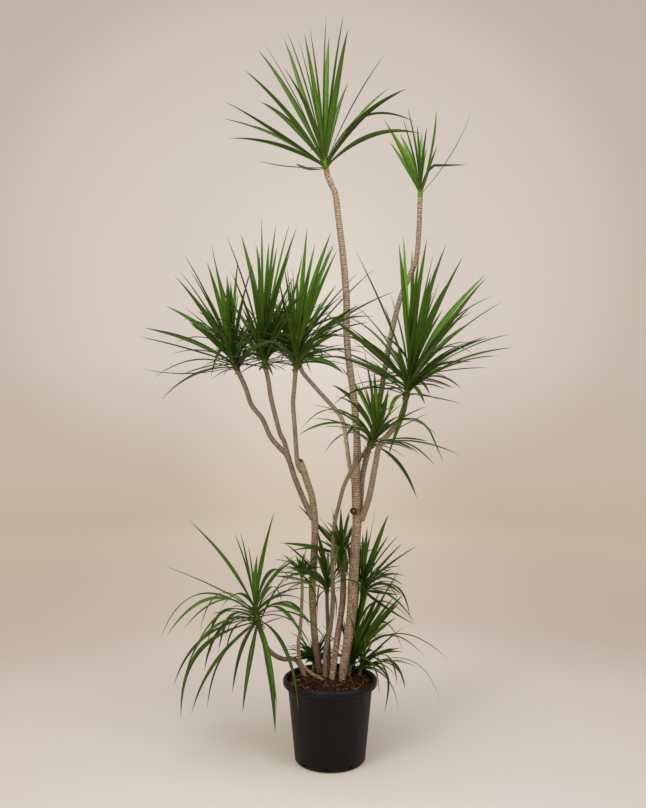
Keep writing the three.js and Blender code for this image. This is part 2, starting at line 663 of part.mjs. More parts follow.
// Where the leaves of a head are meant to go: first those that show from the front, then more that fill the
// head before and behind them. Each is given as its tip, counted from the heart.
function planLeaves(head, draw) {
  const trim = () => ({ width: head.width * between(WIDTHS, draw()), roll: between(ROLLS, draw()) });
  const seen = head.seen.map(([across, up, arch, side], i) => {
    const flat = Math.hypot(across, up);
    const length = head.reach * between(SEEN_LENGTHS, draw());
    const depth = Math.sqrt(Math.max(length ** 2 - flat ** 2, (LEAST_DEPTH * length) ** 2));
    const away = (side ?? (i % 2 ? 1 : -1)) * depth * between(DEPTHS, draw());
    const shown = head.heart.clone().add(new THREE.Vector3(across, 0, up));
    const way = alongSight(shown, away).sub(head.heart);
    const steepness = THREE.MathUtils.clamp(up / flat, -0.2, 1);
    return { way, arch: arch ?? LEAST_ARCH + head.droop * (1 - steepness), seen: true, ...trim() };
  });
  const unseen = Array.from({ length: head.unseen }, (_, i) => {
    const age = (i + 0.5) / head.unseen;
    const tilt = THREE.MathUtils.degToRad(between([LEAST_TILT, head.spread], age ** 0.85));
    const aside = between(ASIDE, (i * GOLDEN_SHARE + draw()) % 1);
    const turn = (i % 2 ? 1 : -1) * (Math.PI / 2) + aside;
    const out = Math.sin(tilt);
    const way = new THREE.Vector3(Math.cos(turn) * out, Math.sin(turn) * out, Math.cos(tilt));
    way.multiplyScalar(head.reach * between(UNSEEN_LENGTHS, draw()));
    return { way, arch: LEAST_ARCH + 1.4 * head.droop * age, seen: false, ...trim() };
  });
  const plan = [...seen, ...unseen];
  // The upright leaves are young and grow from the top of the core, the hanging ones are old and grow
  // from its foot.
  const byAge = [...plan].sort((a, b) => a.way.z / a.way.length() - b.way.z / b.way.length());
  byAge.forEach((leaf, k) => {
    const share = between(ROOTS, k / (plan.length - 1));
    leaf.root = head.heart.clone().addScaledVector(head.axis, head.core[1] * share);
    leaf.tip = head.heart.clone().add(leaf.way);
  });
  return plan;
}

// Each new leaf keeps clear of all that stands already. One that finds no room isn't grown.
function grow(name, leaf) {
  const head = HEADS[name];
  const made = settle(leaf, name, head);
  if (!made) return;
  head.leaves.push(made);
  made.line.slice(1).forEach((b, k) => {
    const widest = Math.max(bladeWidth(made.stations[k]), bladeWidth(made.stations[k + 1]));
    addBar(made.line[k], b, (made.width * widest) / 2, name);
  });
}

// A blade with a flat upper face and a keel below, three-cornered in section.
function blade({ curve, stations, line, side, width, roll }) {
  const rings = line.map((centre, k) => {
    if (stations[k] === 1) return [centre];
    const along = curve.getTangent(stations[k]);
    const across = side.clone().applyAxisAngle(along, roll);
    const above = across.clone().cross(along);
    const half = (width * bladeWidth(stations[k])) / 2;
    const keel = Math.max(2 * half * BLADE_KEEL, 0.9);
    return [
      centre.clone().addScaledVector(across, -half).addScaledVector(above, keel / 2),
      centre.clone().addScaledVector(across, half).addScaledVector(above, keel / 2),
      centre.clone().addScaledVector(above, -keel / 2),
    ];
  });
  return solidOf(skin(rings));
}

function core({ heart, axis, core: [radius, length] }) {
  const start = heart.clone().addScaledVector(axis, GAP);
  const at = (share) => start.clone().addScaledVector(axis, length * share).toArray();
  return rod([at(0), at(0.5), at(1)], [radius, radius * 0.75], CORE_SIDES);
}

// All the blades and the core of one head are one grown piece. Pockets closed off between crossing blades
// are filled.
function headSolid(head) {
  const grown = wasm.Manifold.union([core(head), ...head.leaves.map(blade)]).simplify(BLADE_SIMPLIFY);
  return grown.decompose().reduce((a, b) => (b.volume() > a.volume() ? b : a));
}

// ---- The plant ---------------------------------------------------------------------------------------

const plant = new THREE.Group();
plant.add(meshOf("pot", pot(), potPlastic));
plant.add(meshOf("soil", soil(), compost));
Object.keys(CANES).forEach((name) => plant.add(meshOf(name, cane(name), bark)));

Object.values(HEADS).forEach((head, i) => {
  Object.assign(head, { plan: planLeaves(head, draws(101 + 7 * i)), leaves: [] });
});
[true, false].forEach((shows) => {
  Object.entries(HEADS).forEach(([name, head]) => {
    head.plan.filter(({ seen }) => seen === shows).forEach((leaf) => grow(name, leaf));
  });
});
Object.entries(HEADS).forEach(([name, head]) => plant.add(meshOf(name, headSolid(head), leafGreen)));

export default plant;
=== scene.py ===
"""A dragon tree in a black nursery pot, dressed for a studio photograph.

The sections follow the plant as it is put together: the pot, the compost in it, the canes, and the heads of
leaves. Lengths are millimetres, but for the lamps and the materials, which are in metres.
"""

import math
from functools import partial

import bpy
import numpy as np
from mathutils import Euler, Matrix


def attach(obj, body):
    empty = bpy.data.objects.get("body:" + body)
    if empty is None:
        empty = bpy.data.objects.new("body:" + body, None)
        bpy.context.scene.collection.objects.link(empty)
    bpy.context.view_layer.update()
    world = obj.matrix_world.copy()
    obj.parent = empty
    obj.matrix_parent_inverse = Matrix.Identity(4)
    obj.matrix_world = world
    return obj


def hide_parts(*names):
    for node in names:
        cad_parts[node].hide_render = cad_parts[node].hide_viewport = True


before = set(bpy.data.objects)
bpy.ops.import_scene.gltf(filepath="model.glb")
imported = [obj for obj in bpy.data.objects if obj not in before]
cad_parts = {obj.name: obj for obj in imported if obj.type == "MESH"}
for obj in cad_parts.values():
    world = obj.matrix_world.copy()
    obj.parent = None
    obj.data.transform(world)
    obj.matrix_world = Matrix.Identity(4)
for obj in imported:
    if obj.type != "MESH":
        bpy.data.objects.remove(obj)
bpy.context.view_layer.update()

# ---- Camera --------------------------------------------------------------------------------------------
# The photograph was taken with a level camera, a little to the left of the pot, from about 2.9 m away and
# at half the plant's height.

MM = 0.001
VIEWER = np.array([-24.0, -2900.0, 1208.0])
LENS = 37.97  # focal length on a sensor 36 mm wide

camera = bpy.data.objects.new("camera", bpy.data.cameras.new("camera"))
camera.data.lens = LENS
camera.location = VIEWER * MM
camera.rotation_euler = (math.pi / 2, 0, 0)
bpy.context.scene.collection.objects.link(camera)
bpy.context.scene.camera = camera

# ---- Studio --------------------------------------------------------------------------------------------
# A seamless pale backdrop: a round floor that curves up into a wall on all sides, painted matt. Its faint
# glow stands for the lamps that light it alone. Soft lamps light the plant: one overhead, one from the left
# and a weaker one from the right.


def colour(code):
    """An sRGB hex colour as linear RGBA."""
    shares = [int(code[i : i + 2], 16) / 255 for i in (0, 2, 4)]
    return (*[c / 12.92 if c <= 0.04045 else ((c + 0.055) / 1.055) ** 2.4 for c in shares], 1)


def add(tree, kind, inputs=None, stops=None, **settings):
    """Adds one shader node. inputs gives a socket a value, or the output that is linked to it, or a node, of
    which the first output in use is linked. stops are a colour ramp's places and hex colours."""
    made = tree.nodes.new("ShaderNode" + kind)
    for name, value in settings.items():
        setattr(made, name, value)
    for name, value in (inputs or {}).items():
        if isinstance(value, bpy.types.Node):
            value = next(output for output in value.outputs if output.enabled)
        if isinstance(value, bpy.types.NodeSocket):
            tree.links.new(value, made.inputs[name])
        else:
            made.inputs[name].default_value = value
    if stops:
        ramp = made.color_ramp.elements
        while len(ramp) < len(stops):
            ramp.new(1)
        for element, (place, code) in zip(ramp, stops):
            element.position, element.color = place, colour(code)
    return made


def finish_of(name):
    """An empty material, and the function that adds a node to it."""
    made = bpy.data.materials.new(name)
    made.use_nodes = True
    made.node_tree.nodes.clear()
    return made, partial(add, made.node_tree)


def ring_of(centre, aside, up, sides, spread=1):
    """A ring of points. aside and up reach from its centre to its side and its top."""
    turns = np.linspace(0, 2 * math.pi, sides, endpoint=False)[:, None]
    out = np.multiply(aside, np.cos(turns)) + np.multiply(up, np.sin(turns))
    return centre + out * np.reshape(spread, (-1, 1))


def flat_ring(radius, height, sides):
    return ring_of((0, 0, height), (radius, 0, 0), (0, radius, 0), sides)


def skin_faces(rings, sides, first_end=True, last_end=True):
    """The faces between rings that have the same number of points, and over the two ends."""
    starts = range(0, (rings - 1) * sides, sides)
    corners = [(i, (i + 1) % sides) for i in range(sides)]
    faces = [(a + i, a + j, a + sides + j, a + sides + i) for a in starts for i, j in corners]
    if first_end:
        faces.append(tuple(reversed(range(sides))))
    if last_end:
        faces.append(tuple(range((rings - 1) * sides, rings * sides)))
    return faces


class Form:
    """A mesh in the making: its points, its faces, and numbers for each point that its material reads."""

    def __init__(self):
        self.points, self.faces, self.numbers = [], [], {}

    def put(self, points, faces, **numbers):
        """Adds points, faces that count from the first of them, and one number for all or one for each."""
        start = len(self.points)
        self.points += list(points)
        self.faces += [tuple(start + i for i in face) for face in faces]
        for key, number in numbers.items():
            self.numbers.setdefault(key, []).append(np.broadcast_to(number, len(self.points) - start))

    def skin(self, rings, last_end=True, **numbers):
        self.put(np.concatenate(rings), skin_faces(len(rings), len(rings[0]), last_end=last_end), **numbers)

    def make(self, name, finish, sharp=180):
        """The object. Edges that bend more than sharp degrees are left hard."""
        mesh = bpy.data.meshes.new(name)
        mesh.from_pydata((np.array(self.points) * MM).tolist(), [], self.faces)
        mesh.update()
        mesh.polygons.foreach_set("use_smooth", [True] * len(mesh.polygons))
        mesh.set_sharp_from_angle(angle=math.radians(sharp))
        for key, numbers in self.numbers.items():
            layer = mesh.attributes.new(key, "FLOAT", "POINT")
            layer.data.foreach_set("value", np.concatenate(numbers).astype(np.float32))
        mesh.materials.append(finish)
        made = bpy.data.objects.new(name, mesh)
        bpy.context.scene.collection.objects.link(made)
        return made


FLOOR_RADIUS = 6500
FLOOR_LEVEL = -0.5
COVE_RADIUS = 2500
COVE_STEPS = 16
WALL_TOP = 7000
COVE_SIDES = 96

cove = [(r, FLOOR_LEVEL) for r in (0.5, 600, 1500, 3000, 4800, FLOOR_RADIUS)]
for turn in np.linspace(0, math.pi / 2, COVE_STEPS + 1)[1:]:
    rise = COVE_RADIUS * (1 - math.cos(turn))
    cove.append((FLOOR_RADIUS + COVE_RADIUS * math.sin(turn), FLOOR_LEVEL + rise))
cove.append((FLOOR_RADIUS + COVE_RADIUS, WALL_TOP))

painted_backdrop, node = finish_of("painted_backdrop")
# Matt emulsion, which gives no sheen. Its glow falls off from the middle of the wall and round the pot.
place = node("NewGeometry")
GLOW_MIDDLE = (-0.2, 9.0, 3.4)  # on the wall behind the plant
from_glow = node("VectorMath", {0: place, 1: GLOW_MIDDLE}, operation="DISTANCE")
glow_share = node("MapRange", {0: from_glow, 1: 0.0, 2: 8.0})
WALL_TONES = [(0.08, "b5ada2"), (0.35, "ada29a"), (0.43, "a99d93"), (0.55, "9c8e82"), (0.62, "9a8d82")]
wall_glow = node("ValToRGB", {0: glow_share}, stops=WALL_TONES)
from_pot = node("VectorMath", {0: place}, operation="LENGTH")
pool_share = node("MapRange", {0: from_pot, 1: 0.0, 2: 8.0})
FLOOR_TONES = [
    (0.03, "6a5b40"), (0.07, "6b5c47"), (0.13, "68553e"), (0.25, "6a4f2d"), (0.6, "928069"), (1.0, "96856f"),
]
floor_glow = node("ValToRGB", {0: pool_share}, stops=FLOOR_TONES)
height = node("SeparateXYZ", {0: place}).outputs["Z"]
floor_share = node("MapRange", {0: height, 1: 1.8, 2: 0.0})
both_glow = node("Mix", {0: floor_share, 6: wall_glow, 7: floor_glow}, data_type="RGBA")
# The painted glow on the floor behind the plant is a little lighter than to either side: painted light.
LANE_SQUEEZE = (1.0, 0.15, 0.5)
LANE_MIDDLE = (-0.1, 0.75, 0.3)
squeezed = node("VectorMath", {0: place, 1: LANE_SQUEEZE}, operation="MULTIPLY")
from_lane = node("VectorMath", {0: squeezed, 1: LANE_MIDDLE}, operation="DISTANCE")
lane_share = node("MapRange", {0: from_lane, 1: 2.1, 2: 0.2}, interpolation_type="SMOOTHSTEP")
lane_added = {0: lane_share, 6: both_glow, 7: colour("585552")}
lit_glow = node("Mix", lane_added, data_type="RGBA", blend_type="ADD")
paint = {"Base Color": colour("a5a3a3"), "Roughness": 0.9, "Specular IOR Level": 0.1}
surface = node("BsdfPrincipled", {**paint, "Emission Color": lit_glow, "Emission Strength": 1.0})
node("OutputMaterial", {"Surface": surface})

backdrop_form = Form()
backdrop_form.skin([flat_ring(r, z, COVE_SIDES) for r, z in cove], last_end=False)
backdrop = backdrop_form.make("backdrop", painted_backdrop)

world = bpy.data.worlds.new("studio_air")
bpy.context.scene.world = world
world.use_nodes = True
world.node_tree.nodes["Background"].inputs["Color"].default_value = colour("f4f2f0")
world.node_tree.nodes["Background"].inputs["Strength"].default_value = 0.42

SOFT_LIGHTS = [
    # name, place in metres, aimed at, size in metres, power in watts, colour
    ("key_light", (-2.6, -3.2, 3.6), (0, 0, 1.2), 1.6, 110, "fffaf4"),
    ("fill_light", (2.9, -3.0, 2.9), (0, 0, 1.2), 1.6, 80, "f6f8ff"),
    ("top_light", (0.1, -0.9, 4.9), (0, 0, 1.0), 2.2, 145, "fffcf8"),
]
for name, spot, target, size, power, tint in SOFT_LIGHTS:
    lamp = bpy.data.lights.new(name, "AREA")
    lamp.shape, lamp.size, lamp.energy, lamp.color = "SQUARE", size, power, colour(tint)[:3]
    light = bpy.data.objects.new(name, lamp)
    light.location = spot
    x, y, z = np.subtract(target, spot)
    light.rotation_euler = (math.atan2(math.hypot(x, y), -z), 0, math.atan2(y, x) - math.pi / 2)
    bpy.context.scene.collection.objects.link(light)

bpy.context.scene.view_settings.view_transform = "Standard"

# ---- Pot -----------------------------------------------------------------------------------------------
# A round nursery pot, injection moulded in black polypropylene: one thin wall with a rolled rim that it is
# carried by, and drain holes round the corner of its base.

POT_HEIGHT = 280
RIM_RADIUS = 160
RIM_DEPTH = 25
BODY_TOP_RADIUS = 144
BASE_RADIUS = 119
WALL = 2.5
POT_SIDES = 144
DRAIN_HOLES = 9
DRAIN_START = -0.157  # of the angle between two holes
DRAIN_HEIGHT = 12
DRAIN_SIZE = (15, 11)
DRAIN_SIDES = 20
OUT_OF_ROUND = 0.0025

rim_foot = POT_HEIGHT - RIM_DEPTH


def wall_radius(z):
    """The outside of the pot's wall, which leans out from the base to the rim."""
    return BASE_RADIUS + (BODY_TOP_RADIUS - BASE_RADIUS) * z / rim_foot


def rounded(corners, radius, steps=5):
    """A profile with each inner corner rounded off."""
    line = [corners[0]]
    for before, corner, after in zip(corners, corners[1:], corners[2:]):
        corner, ahead, back = np.array(corner, float), np.array(after) - corner, np.array(before) - corner
        reach = min(radius, 0.45 * math.hypot(*ahead), 0.45 * math.hypot(*back))
        start = corner + back / math.hypot(*back) * reach
        end = corner + ahead / math.hypot(*ahead) * reach
        t = np.linspace(0, 1, steps)[:, None]
        line += list((1 - t) ** 2 * start + 2 * t * (1 - t) * corner + t * t * end)
    return [*line, corners[-1]]


pot_profile = [
    # The base, with its foot ring.
    (0.3, 0.0), (BASE_RADIUS - 22, 0.0), (BASE_RADIUS - 20, 1.2), (BASE_RADIUS - 14, 1.2),
    (BASE_RADIUS - 12, 0.0), (BASE_RADIUS - 7, 0.0),
    # The wall, and the step under the rim.
    (wall_radius(5), 5), (wall_radius(20), 20), (wall_radius(rim_foot - 16), rim_foot - 16),
    (BODY_TOP_RADIUS + 1.8, rim_foot - 13), (BODY_TOP_RADIUS + 2.2, rim_foot),
    # The rolled rim.
    (RIM_RADIUS - 2.5, rim_foot + 1), (RIM_RADIUS, rim_foot + 5), (RIM_RADIUS, POT_HEIGHT - 6),
    (RIM_RADIUS - 5, POT_HEIGHT), (RIM_RADIUS - 12, POT_HEIGHT - 3),
    # The inside.
    (wall_radius(rim_foot) - WALL, rim_foot - 3), (wall_radius(4) - WALL, 4), (0.3, 4),
]
around = np.linspace(0, 2 * math.pi, POT_SIDES, endpoint=False)
pot_form = Form()
pot_rings = []
for r, z in rounded(pot_profile, 4):
    # The thin wall is never quite round.
    bow = 1 + OUT_OF_ROUND * np.sin(2 * around + 0.6) * min(1, z / 120)
    pot_rings.append(ring_of((0, 0, z), (0, -r, 0), (r, 0, 0), POT_SIDES, bow))
pot_form.skin(pot_rings)

black_polypropylene, node = finish_of("moulded_black_polypropylene")
# Mass-coloured black plastic with a fine spark texture: satin, greyer where the rim is handled and rubbed,
# with a thin film of dust and splashed compost.
SPARK_TEXTURE = 1.6  # mm between its bumps, four times the real ones, so that it shows
coordinates = node("TexCoord").outputs["Object"]
rubbed = node("MapRange", {0: node("SeparateXYZ", {0: coordinates}).outputs["Z"], 1: 0.25, 2: 0.279})
scuffs = node("TexNoise", {"Vector": coordinates, "Scale": 55, "Detail": 6, "Roughness": 0.7})
scuffed = node("MapRange", {0: scuffs, 1: 0.5, 2: 0.72})
handled = node("Math", {0: rubbed, 1: scuffed}, operation="MULTIPLY")
stretched = node("VectorMath", {0: coordinates, 1: (1, 1, 0.12)}, operation="MULTIPLY")
streaks = node("TexNoise", {"Vector": stretched, "Scale": 38, "Detail": 4})
dust = node("MapRange", {0: streaks, 1: 0.42, 2: 0.8, 4: 0.3})
plain = node("Mix", {0: dust, 6: colour("090909"), 7: colour("171615")}, data_type="RGBA")
worn = node("Mix", {0: handled, 6: plain, 7: colour("1d1c1b")}, data_type="RGBA")
sheen = node("MapRange", {0: scuffs, 1: 0.3, 2: 0.75, 3: 0.42, 4: 0.62})
spark = node("TexNoise", {"Vector": coordinates, "Scale": 1 / (SPARK_TEXTURE * MM), "Detail": 2})
grain = node("Bump", {"Strength": 0.12, "Distance": 0.0004, "Height": spark})
plastic = {"Base Color": worn, "Roughness": sheen, "IOR": 1.49, "Specular IOR Level": 0.19, "Normal": grain}
node("OutputMaterial", {"Surface": node("BsdfPrincipled", plastic)})

pot = pot_form.make("nursery_pot", black_polypropylene, sharp=50)
punch_form = Form()
turns = np.linspace(0, 2 * math.pi, DRAIN_SIDES, endpoint=False)
squarish = (abs(np.cos(turns)) ** 3 + abs(np.sin(turns)) ** 3) ** (-1 / 3)
for i in range(DRAIN_HOLES):
    at = (i + DRAIN_START) / DRAIN_HOLES * 2 * math.pi
    out, aside = np.array([math.sin(at), -math.cos(at), 0]), np.array([math.cos(at), math.sin(at), 0])
    half_width, half_height = aside * DRAIN_SIZE[0] / 2, (0, 0, DRAIN_SIZE[1] / 2)
    centres = [out * depth + (0, 0, DRAIN_HEIGHT) for depth in (BASE_RADIUS - 16, BASE_RADIUS + 12)]
    punch_form.skin([ring_of(c, half_width, half_height, DRAIN_SIDES, squarish) for c in centres])
punches = punch_form.make("drain_punches", black_polypropylene)
cut = pot.modifiers.new("drain_holes", "BOOLEAN")
cut.object, cut.solver = punches, "EXACT"
bpy.context.view_layer.objects.active = pot
bpy.ops.object.modifier_apply(modifier=cut.name)
bpy.data.objects.remove(punches)
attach(pot, "root")
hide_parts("pot")

# ---- Compost -------------------------------------------------------------------------------------------
# Composted bark and coir, poured loose and watered in, so that its top is uneven and sinks a little
# towards the wall. It fills the pot to about 1 cm below the rim.

SOIL_LEVEL = 270
SOIL_DROP = 13  # from the heap in the middle to the wall
SOIL_FOOT = 4.3
SOIL_GAP = 0.6  # to the wall
SOIL_RINGS = 70
SOIL_SIDES = 180


def waves(count, shortest, longest, seed):
    """A repeatable field of bumps over the plane, the sum of plane waves: (x, y) -> about -1 to 1."""
    draw = np.random.default_rng(seed)
    lengths = draw.uniform(shortest, longest, count)
    turns, shifts = draw.uniform(0, 2 * math.pi, count), draw.uniform(0, 2 * math.pi, count)

    def field(x, y):
        total = 0
        for turn, length, shift in zip(turns, lengths, shifts):
            total += np.sin(2 * math.pi * ((x * math.cos(turn) + y * math.sin(turn)) / length) + shift)
        return total / math.sqrt(count / 2) / 1.6

    return field


heaps = waves(9, 45, 120, 3)
lumps = waves(14, 7, 18, 4)
inside_radius = wall_radius(SOIL_LEVEL - 8) - WALL - SOIL_GAP


def soil_height(x, y):
    share = np.hypot(x, y) / inside_radius
    return SOIL_LEVEL + 5 - SOIL_DROP * share**2 + 1.8 * heaps(x, y) + 1.1 * lumps(x, y)


soil_rings = [flat_ring(r, SOIL_FOOT, SOIL_SIDES) for r in (0.5, wall_radius(SOIL_FOOT) - WALL - SOIL_GAP)]
for k in range(SOIL_RINGS):
    ring = flat_ring(inside_radius * (1 - k / SOIL_RINGS), 0, SOIL_SIDES)
    ring[:, 2] = soil_height(ring[:, 0], ring[:, 1])
    soil_rings.append(ring)
soil_form = Form()
soil_form.skin(soil_rings)

bark_compost, node = finish_of("composted_bark")
# Fibrous red-brown bark with dark humus between: dull, broken up, with no shine.
CRUMB, HUMUS = 5, 9  # mm across
coordinates = node("TexCoord").outputs["Object"]
crumbs = node("TexVoronoi", {"Vector": coordinates, "Scale": 1 / (CRUMB * MM)})
humus = node("TexNoise", {"Vector": coordinates, "Scale": 1 / (HUMUS * MM), "Detail": 5, "Roughness": 0.7})
EARTHS = [(0.3, "0e0805"), (0.5, "1b1009"), (0.68, "2f1c10"), (0.85, "4a2e1a")]
earth = node("ValToRGB", {0: humus}, stops=EARTHS)
rough_top = node("Bump", {"Strength": 0.8, "Distance": 0.002, "Height": crumbs})
dull = {"Base Color": earth, "Roughness": 0.95, "Specular IOR Level": 0.1, "Normal": rough_top}
node("OutputMaterial", {"Surface": node("BsdfPrincipled", dull)})
compost = soil_form.make("compost", bark_compost)
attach(compost, "root")
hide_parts("soil")

# ---- Bark chips ----------------------------------------------------------------------------------------
# The coarse part of the mix lies loose on top: split chips of pine bark and short coir strands, from red
# brown to pale where they have broken open.

CHIPS = 3200
STRANDS = 260
STRAND_STEPS = 7
CHIP_CORNERS = np.array([(x, y, z) for z in (-1, 1) for x, y in ((-1, -1), (1, -1), (1, 1), (-1, 1))], float)
CHIP_CORNERS[4:, :2] *= 0.8  # its top is smaller than its foot
CHIP_FACES = skin_faces(2, 4)

dice = np.random.default_rng(11)
chip_form = Form()


def spot_on_soil(margin):
    """A random place on the compost, this far inside the wall."""
    r, a = (inside_radius - margin) * math.sqrt(dice.uniform(0, 1)), dice.uniform(0, 2 * math.pi)
    return r * math.cos(a), r * math.sin(a)


for _ in range(CHIPS):
    length = dice.gamma(3.2, 1.7) + 2
    size = length * np.array([1, dice.uniform(0.25, 0.6), dice.uniform(0.1, 0.28)])
    x, y = spot_on_soil(3 + 0.3 * length)
    yaw, pitch, roll = dice.uniform(0, 2 * math.pi), dice.normal(0, 0.28), dice.normal(0, 0.3)
    middle = np.array([x, y, soil_height(x, y) + dice.uniform(-0.2, 1.6)])
    split = CHIP_CORNERS * size / 2 + dice.normal(0, 0.09 * length, CHIP_CORNERS.shape)
    turned = np.array(Euler((roll, pitch, yaw)).to_matrix())
    chip_form.put(split @ turned.T + middle, CHIP_FACES, tint=dice.uniform(0, 1))
for _ in range(STRANDS):
    x, y = spot_on_soil(8)
    heading, length = dice.uniform(0, 2 * math.pi), dice.uniform(12, 34)
    bend, radius, tint = dice.normal(0, 1.1), dice.uniform(0.22, 0.5), dice.uniform(0.55, 1)
    strand = []
    for k in range(STRAND_STEPS):
        share = k / (STRAND_STEPS - 1)
        turn = heading + bend * share
        if k:
            x, y = x + length / STRAND_STEPS * math.cos(turn), y + length / STRAND_STEPS * math.sin(turn)
        pull = min(1, (inside_radius - 3) / max(1, math.hypot(x, y)))
        z = soil_height(x * pull, y * pull) + 1.6 + 2.2 * math.sin(math.pi * share)
        aside = radius * (1 - 0.6 * share) * np.array([-math.sin(turn), math.cos(turn), 0])
        strand.append(ring_of((x * pull, y * pull, z), aside, (0, 0, radius), 3))
    chip_form.skin(strand, tint=tint)


def smooth_line(points, count):
    """Points along the smooth line through the given ones."""
    points = np.array(points, float)
    beyond = np.vstack([2 * points[0] - points[1], points, 2 * points[-1] - points[-2]])
    place = (len(points) - 1) * np.linspace(0, 1, count)
    k = np.minimum(place.astype(int), len(points) - 2)
    t = (place - k)[:, None]
    p0, p1, p2, p3 = (beyond[k + i] for i in range(4))
    leave, reach = 0.5 * (p2 - p0), 0.5 * (p3 - p1)
    bend, turn = -3 * p1 + 3 * p2 - 2 * leave - reach, 2 * p1 - 2 * p2 + leave + reach
    return p1 + leave * t + bend * t**2 + turn * t**3


# Thin pale roots that have come up beside the main cane and gone back under.
ROOTS_ABOVE = [
    [(46, -27, 306), (60, -37, 299), (72, -46, 286), (77, -50, 266)],
    [(58, -34, 266), (68, -46, 284), (84, -60, 264)],
    [(28, -30, 266), (34, -44, 280), (48, -62, 264)],
]
ROOT_STEPS = 16
PALEST = 1.15
for route in ROOTS_ABOVE:
    thick = np.linspace(1.25, 0.75, ROOT_STEPS, endpoint=False)
    root_line = zip(smooth_line(route, ROOT_STEPS), thick)
    chip_form.skin([ring_of(centre, (0, r, 0), (0, 0, r), 5) for centre, r in root_line], tint=PALEST)

pine_bark, node = finish_of("split_pine_bark")
# Each chip has its own shade, with streaks of grain along it; a broken face is paler than the outside.
FIBRE = 2.2  # mm
coordinates = node("TexCoord").outputs["Object"]
tint = node("Attribute", attribute_name="tint").outputs["Fac"]
fibres = node("TexNoise", {"Vector": coordinates, "Scale": 1 / (FIBRE * MM), "Detail": 4})
spread = node("Math", {0: fibres, 1: 0.45, 2: -0.22}, operation="MULTIPLY_ADD")
shade = node("Math", {0: tint, 1: spread}, operation="ADD")
BARK_SHADES = [(0.1, "140b06"), (0.45, "2b190c"), (0.72, "412612"), (0.9, "5f3d22"), (1.0, "886540")]
shades = node("ValToRGB", {0: shade}, stops=BARK_SHADES)
ridges = node("Bump", {"Strength": 0.6, "Distance": 0.0008, "Height": fibres})
split_bark = {"Base Color": shades, "Roughness": 0.92, "Specular IOR Level": 0.12, "Normal": ridges}
node("OutputMaterial", {"Surface": node("BsdfPrincipled", split_bark)})
chips = chip_form.make("bark_chips", pine_bark, sharp=35)
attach(chips, "root")

# ---- Canes ---------------------------------------------------------------------------------------------
# The bare stems. Each grew a ring at a time as the old leaves fell, so rings of narrow scars stand close
# together all the way up; the old bark at the foot is lumpy and flecked, the newest is green below a head.

